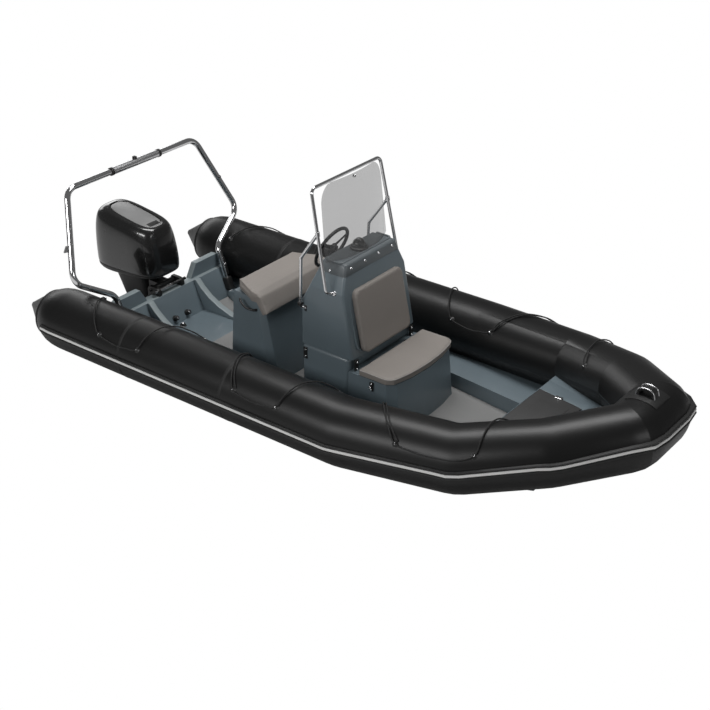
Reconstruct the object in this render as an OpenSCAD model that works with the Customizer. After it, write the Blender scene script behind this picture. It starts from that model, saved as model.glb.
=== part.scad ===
// Rigid inflatable boat with a centre console and an outboard motor.
// X runs forward, Y to port, Z up. The origin is on the centreline, on the
// waterline, at the middle of the transom. Sizes are in millimetres.

/* [Tubes] */
// Radius of the buoyancy tubes along their straight run
tube_r = 250; // [245:1:251]
// Height of the tubes' centreline above the waterline, aft
tube_z = 285; // [284:1:288]
// Half the distance between the straight tubes' centrelines
tube_y = 925; // [922:1:930]
// Height of the rubbing strake
strake_h = 62; // [50:1:70]
// How far the rubbing strake stands out of the tube
strake_out = 22; // [20:1:26]
// Diameter of the grab lines
line_d = 11; // [8:1:12]

/* [Hull and deck] */
// Height of the transom at the motor
transom_z = 250; // [246:1:252]
// Height of the transom's wings beside the motor
wing_z = 372; // [365:1:378]
// Height of the non-skid floor above the waterline
floor_z = 20; // [18:1:20]
// Height of the side steps above the waterline
step_z = 135; // [125:1:138]
// Depth of the keel at the transom
keel_depth = 380; // [340:5:400]

/* [Stainless tube work] */
// Diameter of the roll bar's tube
roll_bar_d = 50; // [45:1:52]
// Diameter of the windscreen frame and grab rails
rail_d = 25; // [22:1:26]

/* [Console and seats] */
// Half width of the console's base
console_hw = 400; // [396:1:402]
// Half width of the console's top
console_top_hw = 306; // [300:1:310]
// Outside diameter of the steering wheel
wheel_d = 370; // [340:1:380]
// Slope of the steering shaft below level
dash_tilt = 23; // [20:1:26]
// Height of the front seat's top
front_seat_z = 456; // [450:1:460]
// Height of the helm seat's top
helm_seat_z = 797; // [790:1:800]
// Thickness of the front seat's lid and cushion
seat_pad_t = 52; // [45:1:54]

/* [Outboard motor] */
// Distance of the steering axis behind the transom's middle
swivel_back = 150; // [148:1:155]
// Depth of the propeller's shaft below the waterline
shaft_depth = 545; // [535:1:550]
// Diameter of the propeller
propeller_d = 350; // [330:1:356]

/* [Hidden] */
$fn = 48;

// Finishes
GRP = [0.29, 0.33, 0.37];
RUBBER = [0.10, 0.10, 0.10];
STAINLESS = [0.78, 0.78, 0.80];
UPHOLSTERY = [0.48, 0.46, 0.44];
MOTOR = [0.12, 0.12, 0.12];

running_gap = 0.05;

// Columns of the tube tables
T_X = 0;
T_Y = 1;
T_Z = 2;
T_R = 3;
T_RISE = 4;
cone_r = 30;
stern_cone = [
  // x, y, z, radius
  [-620, tube_y, tube_z, cone_r - 8],
  [-606, tube_y, tube_z, cone_r],
  [-360, tube_y, tube_z, 194],
  [-320, tube_y, tube_z, 217],
  [-280, tube_y, tube_z, 234],
  [-220, tube_y, tube_z, 246],
  [-150, tube_y, tube_z, tube_r]];
port_bends = [
  // x, y, z, radius, height of the strake above the tube's middle
  [2628, tube_y, tube_z, tube_r, 0],
  [3493, 816, 347, 240, 17],
  [4033, 558, 475, 231, 34],
  [4436, 196, 573, 232, 57]];
strake_start_x = -250;

// Columns of hull_sections; half widths are on the port side
H_X = 0;
H_KEEL = 1;
H_CHINE_Y = 2;
H_CHINE_Z = 3;
H_SIDE_Y = 4;
H_SIDE_Z = 5;
H_DECK_Y = 6;
H_DECK_Z = 7;
transom_x = 28;
hull_sections = [
  // x, keel_z, chine_y, chine_z, side_y, side_z, deck_y, deck_z
  [-transom_x, -keel_depth, 760, -95, 800, 74, 700, -5],
  [2600, -keel_depth - 10, 745, -85, 800, 74, 700, -5],
  [3440, -340, 640, -20, 700, 142, 560, -5],
  [3850, -190, 480, 72, 620, 206, 380, -5],
  [3862, -183, 475, 80, 614, 210, 375, 206],
  [4160, 35, 270, 185, 330, 296, 250, 292],
  [4390, 215, 120, 310, 160, 368, 120, 368],
  [4440, 285, 40, 345, 60, 372, 40, 372]];

// Columns of step_sections, the moulding between the floor and the tube
S_X = 0;
S_INNER_Y = 1;
S_TOP = 2;
S_SIDE = 3;
step_sections = [
  // x, inner_y, top_z, side_y
  [185, 548, 60, 800],
  [350, 475, step_z, 726],
  [480, 445, step_z, 726],
  [2620, 445, step_z, 726],
  [3438, 330, 150, 672]];

// Console, in the side view
console_aft_x = 1802;
console_front_x = 2255;
console_split_z = 500;
console_top_z = 1195;
dash_low_z = 850;
wheel_centre = [1790, 0, 1135];
shaft_r = 12;

// Motor axes
tilt_x = -40;
tilt_z = 285;
tilt_pin_r = 14;
swivel_x = -swivel_back;
king_pin_r = 20;
prop_z = -shaft_depth;
prop_x = -680;
prop_shaft_r = 12;
plate_z = -365;

// Routes of the stainless tubes on the port side
roll_bar_half = [
  // x, y, z, bend radius
  [176, 600, 40, 0],
  [30, 606, 435, 110],
  [-49, 965, 655, 140],
  [-293, 722, 1314, 120]];
windscreen_half = [
  // x, y, z, bend radius
  [2114, 366, 994, 0],
  [2084, 438, 998, 40],
  [1931, 404, 1761, 45]];
side_rail_route = [
  // x, y, z, bend radius
  [1996, 418, 1440, 0],
  [1830, 410, 1207, 30],
  [1812, 405, 806, 22],
  [1846, 366, 794, 0]];

// Route of the starboard grab line: where along the boat, how far round the
// tube from straight up with outboard positive, and the lift off the tube
line_route = [
  // x, angle, lift
  [60, -40, 6], [130, -15, 16], [230, 15, 10], [330, 38, 6], [400, 57, 6],
  [600, 60, 8], [811, 57, 6], [850, 20, 24], [930, -20, 26], [1020, -42, 14],
  [1103, -56, 6], [1330, -60, 8], [1569, -56, 6], [1600, -30, 10], [1640, 0, 10],
  [1710, 30, 10], [1782, 57, 6], [1980, 60, 8], [2185, 57, 6], [2225, 20, 24],
  [2290, -20, 26], [2350, -42, 14], [2417, -56, 6], [2615, -60, 8],
  [2813, -56, 6], [2880, -30, 10], [2960, 0, 10], [3050, 30, 10], [3136, 55, 6],
  [3370, 58, 8], [3616, 55, 6], [3670, 20, 24], [3720, -20, 26],
  [3760, -42, 14], [3795, -55, 6]];
anchor_places = [
  // x, angle
  [400, 57], [811, 57], [1103, -56], [1569, -56], [1782, 57], [2185, 57],
  [2417, -56], [2813, -56], [3136, 55], [3616, 55], [3795, -55]];

// ---- helpers ----

function unit(v) = v / norm(v);
function mix(a, b, t) = a + (b - a) * t;
function xyz(p) = [p[0], p[1], p[2]];
function flip_y(p) = [for (i = [0 : len(p) - 1]) i == 1 ? -p[i] : p[i]];
function reversed(list) = [for (i = [len(list) - 1 : -1 : 0]) list[i]];
function both_sides(half) = concat(half, [for (p = reversed(half)) flip_y(p)]);

// A route whose corners are rounded: each point is x, y, z, bend radius
function corner(a, p, b, r, steps) =
  let (u = unit(a - p), v = unit(b - p), half = acos(u * v) / 2,
       cut = r / tan(half), centre = p + unit(u + v) * r / sin(half))
  [for (i = [0 : steps]) let (q = mix(p + u * cut, p + v * cut, i / steps))
    centre + unit(q - centre) * r];
function rounded(route, steps = 5) = [for (i = [0 : len(route) - 1])
  each (i == 0 || i == len(route) - 1) ? [xyz(route[i])]
    : corner(xyz(route[i - 1]), xyz(route[i]), xyz(route[i + 1]), route[i][3], steps)];

// Directions along a path, and a side vector carried along it without twist
function before(path, i) = unit(path[max(i, 1)] - path[max(i, 1) - 1]);
function after(path, i) =
  let (k = min(i, len(path) - 2)) unit(path[k + 1] - path[k]);
function heading(path, i) = unit(before(path, i) + after(path, i));
function square_to(u, t) = unit(u - (u * t) * t);
function carried(path, first) = [for (i = 0, u = square_to(first, heading(path, 0));
  i < len(path); i = i + 1,
  u = i < len(path) ? square_to(u, heading(path, i)) : u) u];

// One ring of a swept bar, stretched across a mitred bend
function ring(path, i, u, r, sides) =
  let (t = heading(path, i), v = cross(t, u), bend = after(path, i) - before(path, i),
       w = norm(bend) < 0.001 ? u : unit(bend), stretch = 1 / (t * before(path, i)) - 1)
  [for (k = [0 : sides - 1])
    let (e = cos(360 * k / sides) * u + sin(360 * k / sides) * v)
    path[i] + r * (e + w * (e * w) * stretch)];
function swept_rings(path, radii, sides, first) =
  let (u = carried(path, first))
  [for (i = [0 : len(path) - 1]) ring(path, i, u[i], radii[i], sides)];

// A solid through rings that all have the same number of corners
module loft(rings) {
  n = len(rings[0]);
  last = len(rings) - 1;
  walls = [for (i = [0 : last - 1]) for (k = [0 : n - 1])
    let (a = i * n + k, b = i * n + (k + 1) % n)
    each [[a, a + n, b + n], [a, b + n, b]]];
  caps = [[for (k = [0 : n - 1]) k], [for (k = [n - 1 : -1 : 0]) last * n + k]];
  polyhedron([for (r = rings) each r], concat(caps, walls), convexity = 6);
}
module sweep(path, r, sides, first) {
  loft(swept_rings(path, [for (p = path) r], sides, first));
}

module mirrored() {
  children();
  mirror([0, 1, 0]) children();
}

// A plate outlined in the side view, x against z, spread across y
module side_plate(outline, y0, y1) {
  translate([0, y1, 0]) rotate([90, 0, 0]) linear_extrude(y1 - y0) polygon(outline);
}

// A plate outlined across the boat, y against z, spread along x
module cross_plate(outline, x0, x1) {
  translate([x0, 0, 0]) rotate([90, 0, 90]) linear_extrude(x1 - x0) polygon(outline);
}

// A round bar between two points
module bar(a, b, r) {
  d = b - a;
  translate(a) rotate([0, acos(d[2] / norm(d)), atan2(d[1], d[0])])
    cylinder(h = norm(d), r = r);
}

// ---- tubes ----

tube_half = concat(stern_cone, port_bends);
tube_route = both_sides(tube_half);
tube_sides = 48;
tube_path = [for (p = tube_route) xyz(p)];
tube_rings = swept_rings(tube_path, [for (p = tube_route) p[T_R]], tube_sides, [0, 0, 1]);
tube_last = len(tube_half) - 1;

module port_tube() {
  color(RUBBER) loft([for (i = [0 : tube_last]) tube_rings[i]]);
}
module bow_tube() {
  color(RUBBER) loft([tube_rings[tube_last], tube_rings[tube_last + 1]]);
}
module starboard_tube() {
  color(RUBBER) loft([for (i = [tube_last + 1 : 2 * tube_last + 1]) tube_rings[i]]);
}

// Outward direction, in plan, of the leg between two points of the port tube
function outward(a, b) = unit([-(b - a)[1], (b - a)[0], 0]);
module rubbing_strake() {
  route = both_sides(concat([[strake_start_x, tube_y, tube_z, 240, 0],
    [-150, tube_y, tube_z, tube_r, 0]], port_bends));
  n = len(route);
  p = [for (q = route) xyz(q) + [0, 0, q[T_RISE]]];
  color(RUBBER) loft([for (i = [0 : n - 1])
    let (a = outward(p[max(i - 1, 0)], p[max(i, 1)]),
         b = outward(p[min(i, n - 2)], p[min(i + 1, n - 1)]),
         out = unit(a + b), spread = 1 / (out * a), up = [0, 0, strake_h / 2],
         near = p[i] + out * spread * (route[i][T_R] - 4 - 0.35 * route[i][T_RISE]),
         far = p[i] + out * spread * (route[i][T_R] + strake_out))
    [near + up, near - up, far - up, far + up]]);
}

// A point off the starboard tube, from x and the angle round the tube
bend_line = concat([stern_cone[len(stern_cone) - 1]], port_bends);
function leg_at(x) = max([for (i = [0 : len(bend_line) - 2])
  x >= bend_line[i][T_X] ? i : 0]);
function on_tube(x, angle, lift) =
  let (i = leg_at(x), a = bend_line[i], b = bend_line[i + 1],
       t = (x - a[T_X]) / (b[T_X] - a[T_X]), r = mix(a[T_R], b[T_R], t) + lift,
       out = sin(angle) * outward(xyz(a), xyz(b)) + [0, 0, cos(angle)])
  flip_y(mix(xyz(a), xyz(b), t) + r * out);

module grab_line_starboard() {
  color(RUBBER) sweep([for (p = line_route) on_tube(p[0], p[1], p[2] + line_d / 2)],
    line_d / 2, 8, [0, 0.3, 1]);
}
module grab_line_port() {
  mirror([0, 1, 0]) grab_line_starboard();
}
module line_anchors() {
  color(STAINLESS) mirrored() for (p = anchor_places)
    bar(on_tube(p[0], p[1], -4), on_tube(p[0], p[1], 5), 16);
}

// ---- hull and deck ----

function hull_ring(s) = let (x = s[H_X]) [
  [x, 0, s[H_KEEL]],
  [x, s[H_CHINE_Y], s[H_CHINE_Z]],
  [x, s[H_SIDE_Y], s[H_SIDE_Z]],
  [x, s[H_DECK_Y], s[H_SIDE_Z] + 0.2],
  [x, s[H_DECK_Y] - 1, s[H_DECK_Z]],
  [x, 1 - s[H_DECK_Y], s[H_DECK_Z]],
  [x, -s[H_DECK_Y], s[H_SIDE_Z] + 0.2],
  [x, -s[H_SIDE_Y], s[H_SIDE_Z]],
  [x, -s[H_CHINE_Y], s[H_CHINE_Z]]];
module hull_bottom() {
  color(GRP) loft([for (s = hull_sections) hull_ring(s)]);
}

module side_moulding_port() {
  base = -4.7;
  color(GRP) loft([for (s = step_sections) let (x = s[S_X], y = s[S_SIDE]) [
    [x, s[S_INNER_Y], base],
    [x, y - 3, base],
    [x, y - 3, s[S_TOP] - 1],
    [x, y + 16, s[S_TOP]],
    [x, s[S_INNER_Y], s[S_TOP]]]]);
}
module side_moulding_starboard() {
  mirror([0, 1, 0]) side_moulding_port();
}

well_hw = 250;
knee_t = 60;
module deck_floor() {
  aft = 186;
  well_end = 650;
  base = -4.7;
  edge = well_hw + knee_t + 1;
  color([0.52, 0.52, 0.52]) translate([0, 0, base]) linear_extrude(floor_z - base)
    polygon([[aft, -546], [348, -474], [478, -444], [2618, -444], [3434, -329],
      [3434, 329], [2618, 444], [478, 444], [348, 474], [aft, 546], [aft, edge],
      [well_end, edge], [well_end, -edge], [aft, -edge]]);
}

// The transom board, its sloping inner face and the sole of the motor's well
slope_top = [62, transom_z];
slope_foot = [182, -4.7];
module transom() {
  half = [[697, -4.7], [722, 135], [688, 208], [674, 285], [660, 335],
    [590, wing_z], [335, wing_z], [262, transom_z]];
  color(GRP) {
    cross_plate(concat(half, [for (p = reversed(half)) [-p[0], p[1]]]),
      -transom_x, transom_x);
    side_plate([[transom_x, -4.7], slope_foot, slope_top, [transom_x, transom_z]],
      -630, 630);
    translate([slope_foot[0] - 1, -well_hw - 2, -4.7])
      cube([648 - slope_foot[0], 2 * well_hw + 4, 12.7]);
  }
}
module transom_knees() {
  color(GRP) mirrored()
    side_plate([[70, 262], [98, 262], [150, 205], [239, 137], [350, 82], [480, 42],
      [600, 22], [648, 18], [648, -4.7], [183, -4.7], [62.5, 251]],
      well_hw + 2.2, well_hw + knee_t);
}

// A flat lug with a round hole for a shackle, standing out along x
module eye_plate(hole_r, width, length, thickness) {
  difference() {
    union() {
      translate([0, -thickness / 2, -width / 2]) cube([length, thickness, width]);
      translate([length, 0, 0]) rotate([90, 0, 0])
        cylinder(h = thickness, r = width / 2, center = true);
    }
    translate([length, 0, 0]) rotate([90, 0, 0])
      cylinder(h = thickness + 2, r = hole_r, center = true);
  }
}
bow_eye_r = 13;
stern_eye_r = 12;
module bow_eye() {
  color(STAINLESS) translate([4415, 0, 264]) eye_plate(bow_eye_r, 56, 50, 10);
}
module stern_eyes() {
  color(STAINLESS) mirrored() translate([-transom_x - 0.3, 480, -45]) {
    rotate([0, 0, 180]) eye_plate(stern_eye_r, 50, 34, 10);
    translate([-5, -35, -35]) cube([5, 70, 70]);
  }
}

// ---- stainless tube work ----

module roll_bar() {
  color(STAINLESS) sweep(rounded(both_sides(roll_bar_half)), roll_bar_d / 2, 16,
    [1, 0, 0.4]);
}
module roll_bar_sleeve() {
  color([0.60, 0.60, 0.62]) translate([-293, 25, 1314]) rotate([90, 0, 0]) difference() {
    cylinder(h = 512, r = roll_bar_d / 2 + 6, center = true);
    cylinder(h = 514, r = roll_bar_d / 2 + 0.1, center = true);
  }
}
module windscreen_frame() {
  color(STAINLESS) sweep(rounded(both_sides(windscreen_half), 4), rail_d / 2, 12,
    [1, 0, 0.4]);
}
module side_rails() {
  color(STAINLESS) mirrored() sweep(rounded(side_rail_route, 4), rail_d / 2, 12,
    [0, 1, 0]);
}

// The screen leans with its frame, bows forward and has round upper corners
screen_foot = 1203;
screen_top = 1778;
screen_shoulder = 1630;
round_from = 0.70;
function screen_edge(s) = s < round_from ? screen_top
  : screen_shoulder + (screen_top - screen_shoulder)
    * sqrt(1 - pow((s - round_from) / (1 - round_from), 2));
function screen_point(s, z, t) = let (up = z - screen_foot)
  [2122 - 0.207 * up - (99 - 0.108 * up) * s * s + t,
   s * mix(364, 350, up / (screen_shoulder - screen_foot)), z];
module windscreen() {
  t = 3;
  steps = 12;
  color([0.70, 0.72, 0.73]) loft([for (i = [-steps : steps])
    let (s = i / steps, top = screen_edge(abs(s))) [
      screen_point(s, screen_foot, t),
      screen_point(s, screen_foot, -t),
      screen_point(s, mix(screen_foot, top, 0.5), -t),
      screen_point(s, top, -t),
      screen_point(s, top, t),
      screen_point(s, mix(screen_foot, top, 0.5), t)]]);
}

// ---- console ----

module console_base() {
  color(GRP) difference() {
    translate([console_aft_x + 12, -console_hw, floor_z + 0.2])
      cube([console_front_x - console_aft_x - 12, 2 * console_hw,
        console_split_z - floor_z - 0.4]);
    translate([console_aft_x + 60, -console_hw + 40, floor_z - 10])
      cube([340, 2 * console_hw - 80, 440]);
  }
}

module console_shell() {
  edge = 24;
  color(GRP) difference() {
    hull() mirrored() {
      for (x = [console_aft_x + edge, 2262])
        translate([x, console_hw - edge - 8, console_split_z])
          cylinder(h = 1, r = edge, $fn = 32);
      for (p = [[console_aft_x + edge, console_hw - 15, dash_low_z],
                [1900, console_hw - 15, 985], [2171, console_hw - 15, 985],
                [1965, console_top_hw, 1172], [2136, console_top_hw, 1172]])
        translate([p[0], p[1] - edge, p[2]]) sphere(r = edge, $fn = 24);
    }
    // Bearing of the steering shaft
    translate(wheel_centre) rotate([0, 90 + dash_tilt, 0]) translate([0, 0, 60])
      cylinder(h = 150, r = shaft_r + running_gap);
  }
}

backrest_lean = 0.226;
module backrest_cushion() {
  // Columns: y, distance of the lower and upper edge from the cushion's middle
  ends = [[-292, 195], [-280, 225], [-250, 242], [250, 242], [280, 225], [292, 195]];
  middle = 766;
  color(UPHOLSTERY) loft([for (e = ends)
    let (low = middle - e[1], high = middle + e[1],
         lx = 2336 - backrest_lean * (low - 523), hx = 2336 - backrest_lean * (high - 523))
    [[lx - 46, e[0], low - 8], [hx - 46, e[0], high - 8], [hx, e[0], high],
     [lx, e[0], low]]]);
}

module compass() {
  color([0.2, 0.2, 0.2]) translate([2046, 0, console_top_z + 1.2]) rotate_extrude()
    polygon([[0, 0], [70, 0], [70, 16], [56, 24], [50, 50], [30, 78], [0, 88]]);
}

rim_r = 14;
module steering_wheel() {
  hub = 38;
  color([0.12, 0.12, 0.12]) translate(wheel_centre) rotate([0, 90 + dash_tilt, 0]) {
    rotate_extrude() translate([wheel_d / 2 - rim_r, 0]) circle(r = rim_r);
    cylinder(h = 40, r = hub);
    for (a = [0, 120, 240])
      rotate([0, 0, a]) translate([hub - 6, -17, 2])
        cube([wheel_d / 2 - 2 * rim_r - hub + 12, 34, 10]);
    cylinder(h = 190, r = shaft_r);
  }
}

// ---- seats and lockers ----

// Hinge pins: place, length and radius
pin_r = 7;
helm_hinge = [1108, 712];
seat_hinge = [2330, 414];
hatch_hinge = [3645, -306, 346];
hatch_angle = 10;
hatch_pin_r = 5;

module helm_seat_base() {
  top_z = 700;
  color(GRP) difference() {
    hull() {
      translate([0, 0, floor_z + 0.2]) linear_extrude(1) polygon([[1080, -392],
        [1465, -372], [1526, -330], [1526, 330], [1465, 372], [1080, 392]]);
      translate([0, 0, 600]) linear_extrude(1) polygon([[1090, -352],
        [1375, -380], [1424, -350], [1424, 350], [1375, 380], [1090, 352]]);
      translate([0, 0, top_z - 1]) linear_extrude(1) polygon([[1092, -335],
        [1340, -362], [1376, -350], [1376, 350], [1340, 362], [1092, 335]]);
    }
    translate([1135, -280, 120]) cube([240, 560, 700]);
  }
}

// The lid wraps down over the front of its locker
module helm_seat_cushion() {
  color(UPHOLSTERY) {
    difference() {
      side_plate([[1127, helm_seat_z], [1330, helm_seat_z], [1385, 788], [1425, 764],
        [1488, 634], [1440, 610], [1384, 706], [1127, 706]], -418, 418);
      mirrored() translate([1127, 320, 500]) rotate([0, 0, 25])
        translate([-200, 0, 0]) cube([424, 300, 500]);
    }
    translate([helm_hinge[0], 0, helm_hinge[1]]) rotate([90, 0, 0])
      cylinder(h = 440, r = pin_r, center = true);
    translate([helm_hinge[0], -190, helm_hinge[1] - 3]) cube([30, 380, 6]);
  }
}

module front_seat_box() {
  top = front_seat_z - seat_pad_t - 1;
  color(GRP) difference() {
    hull() {
      translate([0, 0, floor_z + 0.2]) linear_extrude(1)
        polygon([[console_front_x + 0.3, -416], [2622, -416], [2684, -345], [2716, -170],
          [2726, 0], [2716, 170], [2684, 345], [2622, 416], [console_front_x + 0.3, 416]]);
      translate([0, 0, top - 1]) linear_extrude(1)
        polygon([[console_front_x + 0.3, -400], [2600, -400], [2652, -335], [2684, -165],
          [2692, 0], [2684, 165], [2652, 335], [2600, 400], [console_front_x + 0.3, 400]]);
    }
    translate([2352, -340, 120]) cube([238, 680, 500]);
  }
}
module front_seat_cushion() {
  color(UPHOLSTERY) {
    translate([0, 0, front_seat_z - seat_pad_t]) linear_extrude(seat_pad_t)
      polygon([[2347, -408], [2600, -408], [2650, -370], [2688, -200], [2700, 0],
        [2688, 200], [2650, 370], [2600, 408], [2347, 408]]);
    translate([seat_hinge[0], 0, seat_hinge[1]]) rotate([90, 0, 0])
      cylinder(h = 440, r = pin_r, center = true);
    translate([seat_hinge[0], -190, seat_hinge[1] - 3]) cube([30, 380, 6]);
  }
}

// A pair of lugs with a bore, at the ends of a hinge pin along y
module pin_lugs(x, z, foot_z) {
  mirrored() difference() {
    translate([x - 12, 200, foot_z]) cube([24, 34, z + 12 - foot_z]);
    translate([x, 0, z]) rotate([90, 0, 0])
      cylinder(h = 600, r = pin_r + running_gap, center = true);
  }
}
module hinge_lugs() {
  color(STAINLESS) {
    pin_lugs(helm_hinge[0], helm_hinge[1], 700.2);
    pin_lugs(seat_hinge[0], seat_hinge[1], front_seat_z - seat_pad_t - 0.8);
    translate(hatch_hinge) rotate([0, 0, hatch_angle]) for (s = [-1, 1])
      translate([s * 170 - 15, -12, -5.8]) difference() {
        cube([30, 16, 14]);
        translate([-1, 12, 5.8]) rotate([0, 90, 0])
          cylinder(h = 32, r = hatch_pin_r + running_gap);
      }
  }
}

locker_sections = [
  // x, half width, base z, top z
  [3442, 494, -4.7, 340],
  [3849, 374, -4.7, 340],
  [3863, 372, 207.5, 340],
  [4080, 320, 271, 342],
  [4200, 275, 306, 352],
  [4380, 140, 364, 385]];
module bow_locker() {
  top = 340;
  color(GRP) difference() {
    loft([for (s = locker_sections) [[s[0], -s[1], s[2]], [s[0], s[1], s[2]],
      [s[0], s[1], s[3]], [s[0], -s[1], s[3]]]]);
    translate([3490, -240, 40]) cube([310, 480, 400]);
    translate([0, 0, top - 10]) linear_extrude(30) polygon([[3446, -341],
      [3838, -272], [3838, 272], [3446, 341]]);
  }
}
module bow_hatch() {
  color([0.22, 0.22, 0.22]) {
    translate([0, 0, 331]) linear_extrude(14)
      polygon([[3453, -330], [3831, -264], [3831, 264], [3453, 330]]);
    translate(hatch_hinge) rotate([0, 0, hatch_angle]) {
      rotate([0, 90, 0]) cylinder(h = 360, r = hatch_pin_r, center = true);
      translate([-140, 0, -3]) cube([280, 40, 6]);
    }
  }
}

// Arched carry handle on its patch at the top of the bow tube
module bow_handle() {
  color(RUBBER) {
    translate([4436, 100, 573]) rotate([90, 0, 0]) rotate([0, 0, 61])
      rotate_extrude(angle = 58, $fn = 96) translate([232.4, 0]) square([5, 200]);
    difference() {
      side_plate([[4362, 796], [4372, 838], [4398, 858], [4432, 864], [4466, 858],
        [4492, 838], [4502, 796]], -32, 32);
      side_plate([[4384, 790], [4390, 826], [4408, 840], [4432, 844], [4456, 840],
        [4474, 826], [4480, 790]], -33, 33);
    }
  }
}

// ---- outboard motor ----

module clamp_bracket() {
  color(MOTOR) {
    mirrored() side_plate([[-transom_x - 0.3, 0], [-transom_x - 0.3, transom_z + 0.3],
      [60, transom_z + 0.3], [62, 282], [52, 302], [30, 316], [-10, 318],
      [-60, 318], [-78, 290], [-78, 0]], 118, 150);
    // Steering ram
    translate([36, 0, 294]) rotate([90, 0, 0]) cylinder(h = 370, r = 13, center = true);
    translate([tilt_x, 0, tilt_z]) rotate([90, 0, 0])
      cylinder(h = 340, r = tilt_pin_r, center = true);
  }
}

module swivel_bracket() {
  hub_r = 27;
  color(MOTOR) difference() {
    union() {
      translate([tilt_x, 0, tilt_z]) rotate([90, 0, 0])
        cylinder(h = 224, r = hub_r, center = true);
      side_plate([[tilt_x, tilt_z + hub_r], [swivel_x, 315], [swivel_x, 60],
        [-100, 60], [-80, 200], [tilt_x, tilt_z - hub_r]], -60, 60);
      translate([swivel_x, 0, -110]) cylinder(h = 426, r = 46);
    }
    translate([tilt_x, 0, tilt_z]) rotate([90, 0, 0])
      cylinder(h = 400, r = tilt_pin_r + running_gap, center = true);
    translate([swivel_x, 0, -200]) cylinder(h = 700, r = king_pin_r + running_gap);
  }
}

// A ring of a motor casing: egg shaped in plan, blunter ahead than astern
function casing_ring(s, n = 32) =
  let (xf = s[0], xa = s[1], hw = s[2], zf = s[3], za = s[4], p = s[5])
  [for (k = [0 : n - 1])
    let (c = cos(360 * k / n), d = sin(360 * k / n),
         u = (1 + sign(c) * pow(abs(c), 2 / p)) / 2,
         v = sign(d) * pow(abs(d), 2 / p))
    [mix(xa, xf, u), hw * v, mix(za, zf, u)]];

// Columns: front x, aft x, half width, front z, aft z, squareness
leg_sections = [
  [-205, -455, 38, -358, -358, 2.4],
  [-205, -462, 42, -200, -200, 2.4],
  [-207, -475, 56, 60, 60, 2.6],
  [-207, -560, 90, 300, 285, 2.8],
  [-207, -590, 105, 384, 330, 3]];
pan_sections = [
  [-110, -622, 122, 386, 320, 3],
  [4, -660, 186, 388, 341, 3.4],
  [38, -682, 208, 404, 376, 3.6],
  [45, -686, 212, 424, 402, 3.6]];
cowl_sections = [
  [45, -686, 213, 426, 404, 3.6],
  [43, -691, 215, 500, 470, 3.6],
  [26, -693, 214, 600, 600, 3.6],
  [4, -686, 206, 700, 740, 3.6],
  [-14, -664, 188, 770, 840, 3.6],
  [-28, -626, 160, 806, 888, 3.4],
  [-46, -576, 120, 818, 900, 3.2]];
cowl_wall = 10;

module motor_leg() {
  color(MOTOR) {
    loft([for (s = leg_sections) casing_ring(s)]);
    translate([swivel_x, 0, -160]) cylinder(h = 530, r = king_pin_r);
    translate([-215, -35, -160]) cube([215 + swivel_x, 70, 42]);
    translate([-215, -50, 326]) cube([215 + swivel_x + 30, 100, 44]);
  }
}
module motor_pan() {
  color(MOTOR) difference() {
    loft([for (s = pan_sections) casing_ring(s)]);
    loft([for (s = [[-205, -592, 107, 300, 260, 3], [-205, -592, 107, 385.5, 345, 3]])
      casing_ring(s)]);
  }
}
module cowling() {
  color(MOTOR) difference() {
    loft([for (s = cowl_sections) casing_ring(s)]);
    loft([for (i = [0 : len(cowl_sections) - 2]) let (s = cowl_sections[i],
        drop = i == 0 ? 5 : i == len(cowl_sections) - 2 ? cowl_wall : 0)
      casing_ring([s[0] - cowl_wall, s[1] + cowl_wall, s[2] - cowl_wall, s[3] - drop,
        s[4] - drop, s[5]])]);
  }
}
module engine_block() {
  color([0.5, 0.5, 0.5]) translate([-500, -120, 427]) cube([400, 240, 290]);
}

module lower_unit() {
  nose = 46;
  color(MOTOR) difference() {
    union() {
      // Plate above the propeller
      translate([0, 0, plate_z]) linear_extrude(6.5) polygon([[-215, -30], [-215, 30],
        [-300, 85], [-420, 105], [-700, 100], [-730, 70], [-730, -70], [-700, -100],
        [-420, -105], [-300, -85]]);
      // Strut and gearcase
      side_plate([[-210, plate_z + 1], [-230, prop_z], [-520, prop_z],
        [-450, plate_z + 1]], -22, 22);
      translate([-600, 0, prop_z]) rotate([0, 90, 0]) rotate_extrude()
        polygon([[0, 0], [40, 0], [nose, 60], [nose, 260], [40, 330], [26, 390],
          [8, 425], [0, 430]]);
      // Skeg
      side_plate([[-250, prop_z], [-400, -735], [-470, -735], [-500, prop_z]], -5, 5);
    }
    translate([-601, 0, prop_z]) rotate([0, 90, 0])
      cylinder(h = 70, r = prop_shaft_r + running_gap);
  }
}

// Outline of a blade: distance from the shaft's axis and half the chord there
blade_outline = [[30, 36], [80, 58], [125, 62], [158, 42], [170, 24], [174, 0]];
blade_pitch = 32;
blade_count = 3;
blade_t = 7;
module blade() {
  scale_up = propeller_d / 350;
  rotate([0, 0, -blade_pitch]) scale(scale_up) rotate([90, 0, 90])
    translate([0, 0, -blade_t / 2]) linear_extrude(blade_t)
      polygon(concat([for (q = blade_outline) [q[1], q[0]]],
        [for (q = reversed(blade_outline)) if (q[1] > 0) [-q[1], q[0]]]));
}
module propeller() {
  color(MOTOR) translate([prop_x, 0, prop_z]) {
    rotate([0, 90, 0]) rotate_extrude() polygon([[0, -64], [38, -64], [44, -40],
      [44, 72], [prop_shaft_r, 72], [prop_shaft_r, 145], [0, 145]]);
    for (k = [0 : blade_count - 1]) rotate([360 * k / blade_count, 0, 0]) blade();
  }
}

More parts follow.
